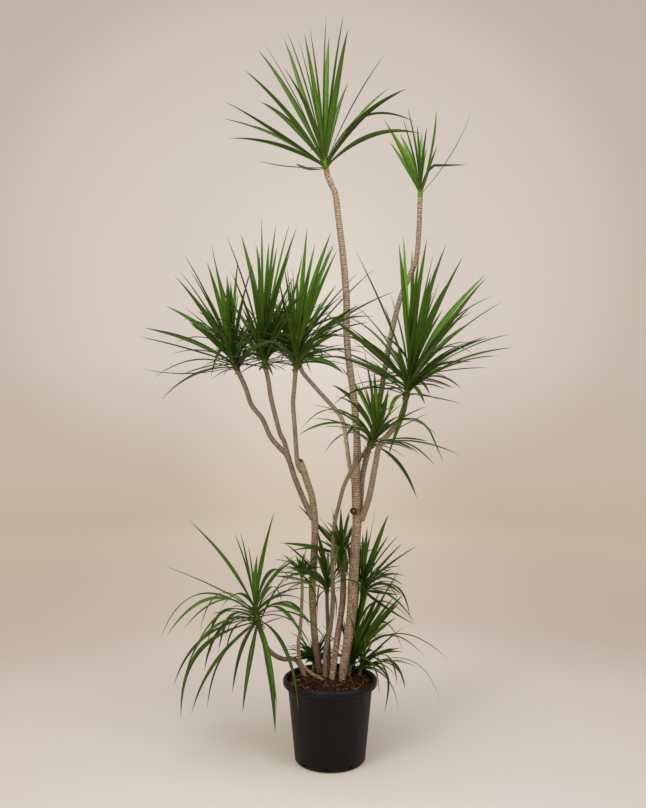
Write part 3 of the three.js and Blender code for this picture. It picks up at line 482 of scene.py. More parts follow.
# Each route goes from the soil or the fork up to the head, with radii evenly spaced from end to end.
CANES = {
    "cane_main": {
        "trunk": ([16, 17, 17, 16, 12, 11.5, 11.5, 11, 9.5], [
            (40, -18, 262), (47, -12, 326), (54, -6, 362), (64, 6, 420), (74, 15, 490), (80, 20, 600),
            (88, 22, 737), (93, 22, 804), (89, 18, 921), (90, 18, 989), (93, 18, 1050), (90, 18, 1125),
            (81, 18, 1235), (62, 14, 1375), (56, 10, 1478), (56, 6, 1567), (44, -2, 1711), (26, -4, 1861),
            (18, -4, 1921), (4, -2, 1956), (-8, 0, 1984), (-13, 0, 2007),
        ]),
        "behind": ([10, 8.5], [
            (99, 22, 831), (107, 40, 895), (112, 50, 953), (125, 56, 1014), (163, 56, 1170),
            (181, 50, 1274), (210, 38, 1442), (243, 28, 1575), (290, 20, 1688), (302, 16, 1764),
            (308, 12, 1913),
        ]),
        "right": ([11, 9.5, 8.5], [
            (104, 20, 806), (122, 2, 857), (135, -10, 903), (154, -34, 1013), (164, -44, 1063),
            (200, -58, 1114), (227, -62, 1145), (245, -64, 1189), (253, -64, 1231),
        ]),
        "crossing": ([7, 7.5], [
            (84, 20, 930), (70, 34, 981), (57, 58, 1077), (51, 70, 1121), (34, 86, 1170), (-30, 104, 1243),
            (-87, 106, 1308), (-104, 104, 1336),
        ]),
    },
    "cane_left": {
        "trunk": ([12.5, 12, 12, 12, 11.5], [
            (-34, 70, 262), (-52, 66, 390), (-60, 60, 509), (-60, 55, 600), (-53, 50, 722), (-52, 46, 790),
            (-56, 42, 845), (-64, 38, 895), (-76, 34, 932), (-88, 30, 970), (-101, 27, 1014),
        ]),
        "inner": ([7.5, 7.5], [
            (-96, 28, 970), (-111, 22, 1003), (-115, 12, 1047), (-120, -8, 1132), (-125, -22, 1208),
            (-121, -32, 1260), (-116, -40, 1322),
        ]),
        "left": ([9.5, 9, 8, 8], [
            (-56, 44, 806), (-79, 44, 852), (-98, 42, 895), (-120, 40, 950), (-146, 34, 1026),
            (-174, 34, 1058), (-205, 34, 1096), (-233, 32, 1157), (-269, 28, 1204), (-289, 24, 1262),
            (-315, 20, 1320),
        ]),
        "middle": ([8, 7.5], [
            (-140, 36, 1010), (-156, 26, 1075), (-173, 16, 1114), (-200, -6, 1226), (-208, -14, 1281),
            (-217, -20, 1326),
        ]),
    },
    "cane_slim": {
        "trunk": ([10, 8.5, 7, 6.5, 7], [
            (-14, 14, 262), (-15, 32, 356), (2, 34, 444), (10, 26, 540), (8, 18, 657), (15, 4, 796),
            (30, -10, 865), (44, -22, 923), (62, -30, 966), (84, -34, 1006), (104, -34, 1033),
            (121, -33, 1046), (133, -32, 1063),
        ]),
    },
    "cane_centre": {
        "trunk": ([11.5, 11, 9.5], [
            (6, -12, 262), (14, 0, 330), (21, 20, 380), (30, 38, 430), (44, 56, 520), (46, 62, 606),
            (42, 60, 661),
        ]),
    },
    "cane_side": {
        "trunk": ([6.5, 5], [
            (-22, -16, 256), (-32, -16, 278), (-59, -16, 293), (-78, -18, 309), (-93, -18, 325),
            (-104, -16, 348), (-107, -14, 402), (-100, -10, 458), (-95, 0, 560), (-96, 2, 616),
        ]),
    },
    "cane_low_left": {
        "trunk": ([8.5, 8], [
            (-84, 48, 250), (-98, 58, 290), (-118, 72, 314), (-139, 74, 320), (-157, 64, 320),
            (-183, 48, 334), (-206, 34, 356), (-221, 24, 379), (-231, 14, 409), (-239, 6, 445),
        ]),
    },
    "shoot_back": {
        "trunk": ([7, 6], [(-3, 92, 262), (-3, 96, 349), (-8, 98, 453), (-10, 98, 537)]),
    },
    "shoot_right": {
        "trunk": ([7, 6], [(66, 84, 262), (84, 86, 351), (98, 88, 438), (109, 90, 510), (112, 90, 538)]),
    },
    "shoot_rim_rising": {
        "trunk": ([7, 7], [(62, 44, 250), (66, 45, 272), (68, 46, 290)]),
    },
    "shoot_rim_drooping": {
        "trunk": ([6, 6], [(96, 46, 250), (101, 48, 270), (104, 48, 284)]),
    },
    "shoot_rim_left": {
        "trunk": ([6, 6], [(-60, 92, 250), (-58, 91, 276), (-56, 90, 296)]),
    },
}
CANE_FOOT = 190
CANE_SIDES = 28
CANE_STEP = 2  # mm between the points of a route
NARROW_FEET = {"cane_main": 0.36, "cane_centre": 0.2}  # by what share an old foot is drawn in at the soil
NARROW_REACH = 42  # mm above the soil in which most of that is over
FORK_SWELL, FORK_REACH = 0.4, 15  # of the radius, and the mm in which most of it is over
FORK_ROUND = 14
OLD_BARK = (480, 1150)  # mm above the floor: wholly old below the first, new above the second
BARE_ENDS = {("cane_left", "trunk")}  # ends in a cut, not in a head
CUT_RINGS, CUT_WIDTH = 10, 0.78  # the rings that are drawn in, and the share that is left at the end
SLANTED_RINGS = 8
CUT_DARKNESS = 0.75
GREEN_TOPS = {("cane_main", "trunk"): 7, ("cane_main", "behind"): 3}  # mm
NO_GREEN_TOP = -8
GREEN_BLEND = (-4, 3)  # mm below and above where the green begins
SCAR_PITCH = 7.6  # mm from one ring of leaf scars to the next; twice the real one, so that it shows
SCAR_SHAPE = ((0.0, -0.06), (0.3, 0.04), (0.72, 0.0))  # along a ring, how far it stands out of the radius
# Each wave: its height, how many times it goes round the cane, and its turn for each ring or mm along it.
RING_WAVES = ((0.9, 1, 0.13), (0.6, 2, 2.4), (0.3, 5, 1.7))
LUMPS = ((1, 2, 0.013), (0.7, 3, -0.031), (0.8, 0, 0.043), (0.5, 5, 0.09))
LUMP_HEIGHT = 0.02  # of the radius
LEVEL_ENDS = 14  # mm at either end in which the rings turn level
# How light a branch's bark is, how olive, and how strongly it is ringed.
BARK = {
    ("cane_main", "trunk"): (1.0, 0.05, 1.0), ("cane_main", "behind"): (0.86, 0.1, 0.9),
    ("cane_main", "right"): (0.79, 0.12, 0.6), ("cane_main", "crossing"): (1.0, 0.0, 0.5),
    ("cane_left", "trunk"): (0.88, 0.35, 0.6), ("cane_left", "left"): (0.58, 0.2, 0.35),
    ("cane_left", "middle"): (0.62, 0.2, 0.35), ("cane_left", "inner"): (0.68, 0.15, 0.35),
    ("cane_slim", "trunk"): (0.72, 0.6, 0.6), ("cane_centre", "trunk"): (1.0, 0.15, 0.6),
    ("cane_side", "trunk"): (0.85, 0.55, 0.5), ("cane_low_left", "trunk"): (0.8, 0.3, 0.6),
}
OTHER_BARK = (0.8, 0.5, 0.6)
KNOTS = {"cane_main": ((86, 18, 843), (-0.3, -1, 0.05), 12.5, 24)}  # place, way out, radius, length
KNOT_PROFILE = [  # along, across, how dark
    (0.25, 1.12, 0), (0.5, 1.1, 0), (0.66, 1.0, 0), (0.78, 0.98, 0), (0.9, 1.0, 0.2), (0.96, 0.95, 0.6),
    (0.97, 0.88, 1), (0.92, 0.8, 1), (0.86, 0.66, 1), (0.84, 0.5, 0.9), (0.88, 0.34, 0.7),
    (0.9, 0.14, 0.55), (0.88, 0.02, 0.7),
]
KNOT_RINGS = 3.2  # along its length


def unit(vectors):
    return vectors / np.linalg.norm(vectors, axis=-1, keepdims=True)


def smooth_step(low, high, value):
    t = np.clip((value - low) / (high - low), 0, 1)
    return t * t * (3 - 2 * t)


def evenly(points, step):
    """Points a fixed step apart along the smooth line, their directions, and the distance to each."""
    fine = smooth_line(points, 60 * (len(points) - 1))
    run = np.concatenate([[0], np.cumsum(np.linalg.norm(np.diff(fine, axis=0), axis=1))])
    at = np.linspace(0, run[-1], max(4, int(run[-1] / step)) + 1)
    centres = np.stack([np.interp(at, run, fine[:, axis]) for axis in range(3)], axis=1)
    return centres, unit(np.gradient(centres, axis=0)), at


def carried_frames(ways):
    """Two directions square to each way, carried along without twisting."""
    normals = [np.cross(ways[0], (0.3, 1, 0.1))]
    for way in ways:
        normals.append(unit(normals[-1] - way * normals[-1].dot(way)))
    return np.array(normals[1:]), np.cross(ways, normals[1:])


def waved(waves, phases, turn, run):
    return sum(h * np.sin(times * turn + rate * run + p) for (h, times, rate), p in zip(waves, phases))


def grow_tube(form, name, part, radii, route):
    """Adds a cane or a branch with its scars. Its numbers: the place among its rings, how green, old and cut
    its wood is, and how light, olive and ringed its bark."""
    phases = np.random.default_rng(sum(map(ord, name + part))).uniform(0, 6, 8)
    trunk, bare = part == "trunk", (name, part) in BARE_ENDS
    if trunk:
        route = [(*route[0][:2], CANE_FOOT), *route]
    centres, ways, at = evenly(route, CANE_STEP)
    normals, binormals = carried_frames(ways)
    total = at[-1]
    turns = np.linspace(0, 2 * math.pi, CANE_SIDES, endpoint=False)
    places, heights = np.transpose(SCAR_SHAPE)
    whole = int(total / SCAR_PITCH)
    rings = np.append(np.add.outer(np.arange(whole), places), total / SCAR_PITCH)
    out = np.append(np.tile(heights, whole), 0)[:, None]
    ring, turn = np.meshgrid(rings, turns, indexing="ij")
    # The rings are not level: each is wavy in its own way, and they lap like scales.
    level = ring * SCAR_PITCH
    calm = smooth_step(0, LEVEL_ENDS, level) * smooth_step(0, LEVEL_ENDS, total - level)
    s = np.clip(level + waved(RING_WAVES, phases, turn, ring) * calm, 0, total)

    def over(values):
        return np.stack([np.interp(s, at, values[:, axis]) for axis in range(3)], axis=-1)

    radius = np.interp(s / total, np.linspace(0, 1, len(radii)), radii)
    middle = over(centres)
    z = middle[..., 2]
    old = 1 - smooth_step(*OLD_BARK, z)
    lump = waved(LUMPS, phases[4:], turn, s)
    spread = radius * (1 + LUMP_HEIGHT * lump * (0.5 + old) + out * (1 - 0.5 * old) * calm)
    if name in NARROW_FEET:
        spread *= 1 - NARROW_FEET[name] * np.exp(-np.clip(z - SOIL_LEVEL, 0, 400) / NARROW_REACH)
    if not trunk:
        # A branch swells where it leaves the stem, and its start is rounded off inside it.
        spread += radius * FORK_SWELL * np.exp(-s / FORK_REACH)
        spread *= np.sqrt(np.clip(1 - (1 - np.minimum(s, FORK_ROUND) / FORK_ROUND) ** 2, 0.01, 1))
    outward = np.cos(turn)[..., None] * over(normals) + np.sin(turn)[..., None] * over(binormals)
    skin = middle + spread[..., None] * outward
    if bare:
        # A slanting, ragged cut: the last rings are drawn in and pushed along by where they stand across.
        slant = 0.7 * np.sin(turns + 2.1) + 0.16 * np.sin(5 * turns) + 0.1 * np.sin(9 * turns + 2)
        slant *= spread[-1]
        middle = skin[-CUT_RINGS:].mean(axis=1, keepdims=True)
        drawn_in = np.linspace(1, CUT_WIDTH, CUT_RINGS)[:, None, None]
        skin[-CUT_RINGS:] = middle + (skin[-CUT_RINGS:] - middle) * drawn_in
        for back in range(SLANTED_RINGS):
            skin[-1 - back] += ways[-1] * (slant * (1 - back / SLANTED_RINGS))[:, None]
    green_from = total - GREEN_TOPS.get((name, part), NO_GREEN_TOP)
    green = 0 * s if bare else smooth_step(*np.add(green_from, GREEN_BLEND), s)
    numbers = dict(zip(("light", "olive", "ringed"), BARK.get((name, part), OTHER_BARK)))
    skin_numbers = dict(ring=ring.ravel(), green=green.ravel(), old=old.ravel(), cut=0, **numbers)
    form.put(skin.reshape(-1, 3), skin_faces(len(rings), CANE_SIDES, last_end=not bare), **skin_numbers)
    if bare:
        # The cut end is its own small hollow of darkened, cracked wood. Its faces begin at the last ring.
        middle = skin[-1].mean(axis=0) - 1.2 * ways[-1]
        hollow = [middle + (skin[-1] - middle) * share + 0.6 * ways[-1] * share for share in (0.8, 0.4)]
        faces = [tuple(i - CANE_SIDES for i in face) for face in skin_faces(3, CANE_SIDES, False, False)]
        inmost = range(CANE_SIDES, 2 * CANE_SIDES)
        faces += [(i, i + 1 if i + 1 in inmost else CANE_SIDES, 2 * CANE_SIDES) for i in inmost]
        cut_numbers = dict(ring=rings[-1], green=0, old=1, cut=CUT_DARKNESS, **numbers)
        form.put(np.vstack([*hollow, middle]), faces, **cut_numbers)


def add_knot(form, at, toward, radius, length):
    """A pruned branch's stump, healed over: a raised collar of bark round a dark hollow."""
    toward = unit(np.array(toward))
    aside = unit(np.cross(toward, (0, 0, 1)))
    turns = np.linspace(0, 2 * math.pi, CANE_SIDES, endpoint=False)
    wobble = 1 + 0.05 * np.sin(2 * turns + 1) + 0.04 * np.sin(5 * turns + 2)
    up = np.cross(aside, toward)
    along, across, dark = np.transpose(KNOT_PROFILE)
    sizes = zip(length * along, radius * across)
    rings = [ring_of(at + toward * a, aside * r, up * r, CANE_SIDES, wobble) for a, r in sizes]
    ring, cut = np.repeat(KNOT_RINGS * along, CANE_SIDES), np.repeat(dark, CANE_SIDES)
    form.skin(rings, ring=ring, green=0, old=1, cut=cut, light=0.9, olive=0.5, ringed=0.5)


cane_bark, node = finish_of("ringed_cane_bark")
# Thin corky bark, matt. New bark is pale between dark, broken rings, which cross in places; the old bark low
# down is browner and flecked with short dark dashes, and the newest wood just below a head is green.
BARK_PATCH, BARK_FLECK = 24, 6.2  # mm
coordinates = node("TexCoord").outputs["Object"]
BARK_NUMBERS = ("ring", "green", "old", "cut", "light", "olive", "ringed")
read = [node("Attribute", attribute_name=number).outputs["Fac"] for number in BARK_NUMBERS]
ring, green, old, cut_wood, light, olive, ringed = read
patches = node("TexNoise", {"Vector": coordinates, "Scale": 1 / (BARK_PATCH * MM), "Detail": 3})
flattened = node("VectorMath", {0: coordinates, 1: (1, 1, 2.6)}, operation="MULTIPLY")
fine_noise = {"Scale": 1 / (BARK_FLECK * MM), "Detail": 4, "Roughness": 0.72}
flecks = node("TexNoise", {"Vector": flattened, **fine_noise})
ragged = node("Math", {0: flecks, 1: 1.1, 2: ring}, operation="MULTIPLY_ADD")
off_line = node("Math", {0: ragged, 1: 0.5}, operation="PINGPONG")
line_share = node("MapRange", {0: off_line, 1: 0.3, 2: 0.1})
off_strong = node("Math", {0: ragged, 1: 1.0}, operation="PINGPONG")
strong = node("MapRange", {0: off_strong, 3: 1.0, 4: 0.62})
dashes = node("MapRange", {0: patches, 1: 0.32, 2: 0.6, 3: 0.6, 4: 1.0})
fading = node("MapRange", {0: old, 3: 1.0, 4: 0.45})
for share in (strong, dashes, fading, ringed):
    line_share = node("Math", {0: line_share, 1: share}, operation="MULTIPLY")
new_tone = node("ValToRGB", {0: flecks}, stops=[(0.36, "7d6650"), (0.5, "ae9980"), (0.64, "d2c1aa")])
OLD_TONES = [(0.37, "241910"), (0.44, "5f4834"), (0.49, "8b7057"), (0.57, "ac9277"), (0.69, "cfbb9e")]
old_tone = node("ValToRGB", {0: flecks}, stops=OLD_TONES)
aged = node("Mix", {0: old, 6: new_tone, 7: old_tone}, data_type="RGBA")
patch_share = node("MapRange", {0: patches, 1: 0.42, 2: 0.6, 3: 0.45, 4: 1.0})
olive_share = node("Math", {0: patch_share, 1: olive}, operation="MULTIPLY")
mossy = node("Mix", {0: olive_share, 6: aged, 7: colour("83774c")}, data_type="RGBA")
scarred = node("Mix", {0: line_share, 6: mossy, 7: colour("40301f")}, data_type="RGBA")
blotches = node("MapRange", {0: patches, 1: 0.3, 2: 0.7, 3: 0.8, 4: 1.16})
value = node("Math", {0: blotches, 1: light}, operation="MULTIPLY")
lightened = node("HueSaturation", {"Value": value, "Color": scarred})
young = node("Mix", {0: green, 6: lightened, 7: colour("7d8f3c")}, data_type="RGBA")
sawn = node("Mix", {0: cut_wood, 6: young, 7: colour("21170f")}, data_type="RGBA")
roughened = node("Bump", {"Strength": 0.5, "Distance": 0.0008, "Height": flecks})
bark = {"Base Color": sawn, "Roughness": 0.85, "Specular IOR Level": 0.3, "Normal": roughened}
node("OutputMaterial", {"Surface": node("BsdfPrincipled", bark)})

for name, routes in CANES.items():
    cane_form = Form()
    for part, (radii, route) in routes.items():
        grow_tube(cane_form, name, part, radii, route)
    if name in KNOTS:
        add_knot(cane_form, *KNOTS[name])
    cane = cane_form.make(name + "_bark", cane_bark, sharp=70)
    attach(cane, "root")
    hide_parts(name)

# ---- Leaf heads ----------------------------------------------------------------------------------------
# Every cane ends in a tuft of long narrow leaves, set in a tight spiral. The young ones stand upright in
# the middle; older ones lean out, arch over and hang. Each grows from the stem by a clasping base.

# reach: a grown leaf's length. core: the radius and length of the growing point.
# seen: where the tips of the leaves that show stand from the end of the cane, (across, up, arch, side). arch
# is how far a leaf's middle stands above its chord, as a share of it; side is -1 towards the viewer, 1 away.
# faces: how much of its face each of those turns to the front, in tenths. One over 10 is that much broader,
# 1 is a thread, and 0 has dropped.
# unseen: how many leaves point to and away from the viewer. The oldest leans spread degrees from upright.
# filled: how many more stand between those, for each of them. thin: how many thin old ones lean out, rooted
# up to stem times the core's length. extra: leaves that stand out singly: root, the point that the leaf
# bends towards, tip, width, and where it is broken.
# older: by what share of a leaf's life the leaves look older. light: how light their green is painted, as
# painted shade: the heads that stand in deeper shade are painted darker.
HEADS = {
    "head_crown": dict(
        cane=("cane_main", "trunk"), reach=520, width=17.9, core=(11.7, 62), unseen=10, spread=66,
        droop=0.08, filled=0.1, thin=0, older=0.04, light=0.64,
        seen=[
            (0, 525), (10, 455), (75, 480), (75, 295), (205, 400), (220, 280), (275, 275, 0.08),
            (305, 160, 0.2), (325, 120, 0.12), (-55, 485), (-75, 465), (-95, 440), (-135, 470), (-145, 445),
            (-215, 435), (-235, 410), (-280, 340), (-225, 230), (-355, 235, 0.02), (-360, 175, 0.03),
            (-335, 105, 0.06), (-240, 30, -0.03), (-105, 20, -0.03),
        ],
        faces=(4, 11, 12, 11, 1, 2, 8, 4, 10, 3, 11, 4, 3, 12, 1, 12, 9, 10, 8, 8, 8, 1, 2),
    ),
    "head_top_right": dict(
        cane=("cane_main", "behind"), reach=320, width=14.6, core=(10.4, 45), unseen=5, spread=46,
        droop=0.06, filled=0.0, thin=0, older=-0.03, light=0.92,
        seen=[
            (-125, 270), (-105, 190), (-60, 275), (-70, 220), (-10, 250), (5, 220), (55, 300, -0.1),
            (175, 295, -0.06), (165, 110, 0.3),
        ],
        faces=(12, 7, 5, 12, 4, 11, 3, 1, 0),
        extra=[
            ((308, 12, 1926), (323, 12, 2078), (468, 12, 2025), 10, 0.5),
            ((308, 10, 1924), (330, 4, 2000), (366, 4, 2090), 15, None),
        ],
    ),
    "head_left_outer": dict(
        cane=("cane_left", "left"), reach=420, width=16.8, core=(11.1, 60), unseen=8, spread=85, droop=0.1,
        filled=0.5, thin=40, older=0.05, light=0.77, stem=1.9,
        seen=[
            (-220, 330), (-205, 350), (-185, 400), (-135, 310), (-110, 375), (-80, 365), (-75, 375),
            (-250, 225), (-170, 170), (-325, 150, 0.04), (-345, 120, 0.02), (-335, 10, -0.06),
            (-290, -25, 0.14), (-265, -100, 0.1), (-95, -30, 0.3), (0, 385), (40, 350), (110, 170),
            (60, 205), (75, 40, 0.1), (140, 105, 0.06),
        ],
        faces=(9, 7, 4, 8, 9, 9, 5, 12, 11, 10, 2, 1, 2, 5, 10, 6, 7, 7, 7, 6, 5),
    ),
    "head_left_middle": dict(
        cane=("cane_left", "middle"), reach=480, width=16.8, core=(10.4, 60), unseen=8, spread=85,
        droop=0.1, filled=0.6, thin=58, older=0.05, light=0.77, stem=2.2,
        seen=[
            (-135, 455), (-85, 460), (-30, 420), (-15, 515), (10, 430), (30, 490), (35, 415), (80, 490),
            (105, 480), (85, 405), (-120, 335), (-135, 245), (-185, 430, -0.08), (125, 395, -0.06),
            (-120, 150), (-60, 40, 0.12), (95, 205), (120, 120, 0.05), (-85, 215), (70, 45, 0.12),
        ],
        faces=(5, 11, 9, 6, 9, 5, 7, 6, 6, 7, 8, 9, 3, 5, 8, 7, 6, 6, 7, 6),
    ),
    "head_left_inner": dict(
        cane=("cane_left", "inner"), reach=460, width=16.8, core=(11.1, 60), unseen=8, spread=80, droop=0.1,
        filled=0.5, thin=52, older=0.0, light=0.78, stem=1.9,
        seen=[
            (-10, 345), (30, 400), (40, 480), (65, 425), (120, 465), (130, 425), (140, 410), (140, 290),
            (75, 330), (-30, 345), (165, -15, 0.08), (270, 345, 0.04), (215, 220, 0.05), (-62, 175),
            (-125, 110, 0.06), (-85, 215), (-70, 35, 0.12), (110, 75, 0.08),
        ],
        faces=(6, 5, 10, 8, 11, 11, 7, 8, 7, 6, 8, 3, 5, 6, 5, 6, 5, 6),
    ),
    "head_left_back": dict(
        cane=("cane_main", "crossing"), reach=420, width=15.7, core=(10.4, 55), unseen=7, spread=88,
        droop=0.1, filled=0.5, thin=44, older=0.1, light=0.8, stem=1.5,
        seen=[
            (335, 270, 0.05), (245, 160, 0.06), (235, 50, 0.08), (250, 10, 0.08), (195, 345, 0.03),
            (155, -25, 0.1), (215, 85, 0.08),
        ],
    ),
    "head_right": dict(
        cane=("cane_main", "right"), reach=550, width=17.9, core=(11.7, 70), unseen=11, spread=78,
        droop=0.1, filled=0.6, thin=46, older=0.0, light=0.84, stem=1.5,
        seen=[
            (-170, 490, 0.02), (-75, 305), (-25, 515), (-10, 540), (-15, 470), (25, 495), (70, 530),
            (85, 480), (105, 480), (135, 515), (190, 470), (265, 410), (270, 400), (225, 255), (185, 285),
            (325, 320), (285, 200), (350, 210, 0.06), (355, 165, 0.06), (185, 25, 0.12), (105, 185),
            (125, 100, 0.05), (-280, 285, 0.03), (-260, 165, 0.04), (-195, 235, 0.03), (-205, 205, 0.04),
            (-65, -205, 0.12), (80, 5, 0.12), (-255, 135, 0.06),
        ],
        faces=(3, 3, 8, 10, 8, 9, 10, 6, 6, 11, 7, 11, 9, 7, 6, 3, 5, 3, 3, 6, 5, 7, 8, 8, 9, 7, 0, 4, 6),
        extra=[((252, -72, 1228), (243, -100, 1180), (186, -110, 1030), 25)],
    ),
    "head_middle": dict(
        cane=("cane_slim", "trunk"), reach=380, width=15.7, core=(9.8, 50), unseen=8, spread=96, droop=0.14,
        filled=0.4, thin=18, older=0.1, light=0.82,
        seen=[
            (-20, 335), (20, 260), (65, 200), (90, 145), (50, 235), (-130, 210, 0.1), (-120, 170, 0.12),
            (-240, 55, 0.2), (-240, 40, 0.16), (-160, -25, 0.16), (300, -30, 0.08), (170, -25, 0.08),
            (225, -70, 0.12), (160, -175, 0.1), (250, -55, 0.42), (200, 140, 0.04),
        ],
    ),
    "head_low_left": dict(
        cane=("cane_low_left", "trunk"), reach=420, width=16.8, core=(10.4, 82), unseen=10, spread=108,
        droop=0.2, filled=0.15, thin=6, older=0.1, light=0.7,
        seen=[
            (-250, 375, 0.04), (-325, 210, 0.03), (-40, 285), (-10, 250), (50, 400), (-340, -40, 0.3),
            (-320, -30, 0.26), (-180, -55, 0.24), (-135, 65, 0.18), (-295, -200, 0.16), (-260, -190, 0.26),
            (-270, -315, 0.2), (-235, -300, 0.1), (-190, -155, 0.2), (-180, -280, 0.16), (-95, -230, 0.1),
            (-60, -295, 0.06), (40, -350, 0.06), (60, -280, 0.1), (130, -290, 0.24, -1), (125, 145, 0.24),
            (185, 135, 0.1), (170, 80, 0.12), (170, 0, 0.2), (155, -55, 0.24), (175, -70, 0.12),
            (252, -82, 0.2, -1),
        ],
        faces=(8, 4, 8, 9, 10, 5, 5, 6, 4, 7, 5, 8, 8, 5, 4, 10, 11, 11, 10, 8, 6, 4, 6, 6, 5, 4, 3),
    ),
    "head_low_centre": dict(
        cane=("cane_centre", "trunk"), reach=260, width=15.7, core=(10.4, 40), unseen=6, spread=100,
        droop=0.2, filled=0.3, thin=14, older=0.2, light=0.66,
        seen=[
            (-5, 185), (35, 130), (-80, 130), (-80, 155), (25, 175), (-10, -100, 0.4), (-25, -45, 0.35),
            (5, -75, 0.35), (-40, 110), (55, 145), (-159, 200, 0.02, 1), (-215, 66, 0.05, -1),
            (-185, 35, 0.08, -1),
        ],
        faces=(8, 6, 5, 6, 8, 3, 2, 0, 5, 6, 4, 10, 8),
        extra=[
            ((42, 60, 690), (40, 58, 770), (37, 55, 852), 19),
            ((46, 60, 690), (58, 58, 735), (78, 58, 790), 13),
            ((38, 62, 684), (-30, 72, 780), (-115, 80, 857), 14),
            ((44, 50, 684), (40, 30, 690), (30, 24, 600), 6),
            ((46, 52, 694), (58, 30, 700), (47, 24, 588), 20),
            ((40, 52, 690), (26, 34, 690), (28, 34, 625), 15),
            ((44, 50, 690), (62, 36, 680), (58, 34, 610), 12),
        ],
    ),
    "head_low_back": dict(
        cane=("shoot_back", "trunk"), reach=330, width=15.6, core=(9.1, 45), unseen=9, spread=96,
        droop=0.16, filled=0.3, thin=16, older=0.25, light=0.62,
        seen=[
            (-30, 215), (-155, 100, 0.08), (-155, 70, 0.1), (-35, -100, 0.3), (-20, -130, 0.3),
            (-165, -15, 0.14), (-40, 150), (25, 160),
        ],
        faces=(9, 5, 4, 3, 0, 4, 7, 7),
        extra=[
            ((-8, 98, 560), (-22, 100, 660), (-39, 100, 753), 14),
            ((-10, 98, 560), (-50, 90, 600), (-100, 84, 640), 11),
            ((-4, 92, 556), (30, 90, 560), (20, 86, 440), 6),
            ((-14, 94, 552), (-50, 88, 550), (-52, 84, 440), 6),
        ],
    ),
    "head_low_side": dict(
        cane=("cane_side", "trunk"), reach=130, width=10.1, core=(7.2, 26), unseen=4, spread=92, droop=0.12,
        filled=0.8, thin=30, older=0.1, light=0.72,
        seen=[
            (-70, 30, 0.1), (-75, -40, 0.2), (-40, 60, 0.05), (-20, 75, 0.04), (5, 75), (35, 40, 0.1),
            (55, -20, 0.2),
        ],
        extra=[
            ((-94, 0, 630), (-58, -10, 644), (-14, 0, 582), 13),
            ((-94, 0, 626), (-66, -12, 604), (-44, -6, 548), 11),
            ((-96, 2, 630), (-60, 4, 664), (-20, 12, 646), 11),
            ((-98, 0, 628), (-130, -10, 642), (-152, -14, 604), 10),
        ],
    ),
    "head_low_right": dict(
        cane=("shoot_right", "trunk"), reach=330, width=15.7, core=(9.1, 48), unseen=8, spread=94,
        droop=0.14, filled=0.5, thin=24, older=0.1, light=0.74,
        seen=[
            (95, 285, 0.02), (95, 210, 0.03), (130, 210, 0.03), (200, 175, 0.03), (5, 185), (50, 305, 0.02),
            (135, 100, 0.1), (155, 65, 0.12), (150, 30, 0.14), (170, -90, 0.3), (185, -100, 0.16),
            (35, 230), (50, 140, 0.02),
        ],
        faces=(12, 7, 3, 4, 3, 1, 3, 7, 7, 5, 3, 3, 3),
        extra=[
            ((112, 90, 560), (165, 60, 516), (291, 20, 451), 20),
            ((112, 88, 556), (180, 70, 548), (240, 60, 546), 12),
        ],
    ),
    "head_rim_rising": dict(
        cane=("shoot_rim_rising", "trunk"), reach=330, width=17.5, core=(9.1, 46), unseen=4, spread=84,
        droop=0.1, filled=0.5, thin=12, older=0.1, light=0.78,
        seen=[
            (42, 322, 0.02), (67, 292, 0.02), (22, 262), (177, 237, 0.02), (77, 192, 0.02),
            (172, 332, 0.03), (67, 87), (187, 57, 0.45), (342, 32, 0.3), (132, 212, 0.02), (57, 222, 0.02),
            (102, 257, 0.02), (162, 182, 0.03), (85, 12, 0.1, -1),
        ],
        faces=(5, 6, 5, 12, 6, 6, 6, 4, 1, 6, 6, 6, 8, 6),
        extra=[
            ((72, 52, 330), (84, 58, 520), (110, 62, 730), 15),
            ((74, 50, 320), (110, 66, 500), (162, 80, 680), 15),
            ((72, 48, 316), (94, 62, 470), (130, 70, 616), 14),
            ((78, 44, 322), (160, 34, 460), (252, 20, 556), 21),
            ((74, 50, 316), (150, 58, 500), (244, 60, 637), 14),
            ((72, 50, 330), (119, 44, 655), (291, 20, 451), 16),
            ((74, 38, 306), (96, 20, 360), (134, 10, 404), 15),
            ((86, 24, 300), (160, -10, 370), (238, -40, 390), 12),
            ((76, 44, 320), (104, 50, 470), (196, 50, 590), 13),
            ((70, 50, 320), (76, 60, 520), (98, 66, 700), 12),
            ((70, 54, 316), (72, 66, 480), (84, 74, 660), 14),
            ((76, 54, 318), (96, 70, 480), (140, 84, 640), 12),
            ((74, 46, 310), (90, 54, 420), (112, 60, 540), 16),
            ((80, 46, 312), (112, 50, 420), (160, 56, 520), 13),
        ],
    ),
    "head_rim_drooping": dict(
        cane=("shoot_rim_drooping", "trunk"), reach=260, width=13.4, core=(8.5, 34), unseen=5, spread=96,
        droop=0.25, filled=0.6, thin=10, older=0.1, light=0.76,
        seen=[
            (148, 67, 0.08), (278, -113, 0.3), (133, -138, 0.28), (83, -148, 0.4), (68, -88, 0.4),
            (128, -53, 0.36), (103, -33, 0.34), (83, 87, 0.04), (43, 97, 0.03),
        ],
        faces=(10, 1, 6, 4, 3, 4, 4, 10, 8),
        extra=[
            ((104, 30, 296), (160, -20, 372), (206, -60, 265), 13),
            ((104, 30, 298), (170, 0, 360), (222, -30, 290), 11),
            ((100, 24, 296), (140, -30, 340), (190, -74, 300), 10),
        ],
    ),
    "head_rim_left": dict(
        cane=("shoot_rim_left", "trunk"), reach=150, width=12.3, core=(8.5, 30), unseen=6, spread=92,
        droop=0.1, filled=2.0, thin=36, older=0.2, light=0.56,
        seen=[
            (88, 20, 0.06), (73, 40, 0.05), (-97, 30, 0.1), (-62, 85, 0.05), (13, 75, 0.04), (58, 8, 0.1),
            (-55, 22, 0.08),
        ],
        extra=[
            ((-58, 84, 306), (-96, 70, 352), (-126, 60, 322), 12),
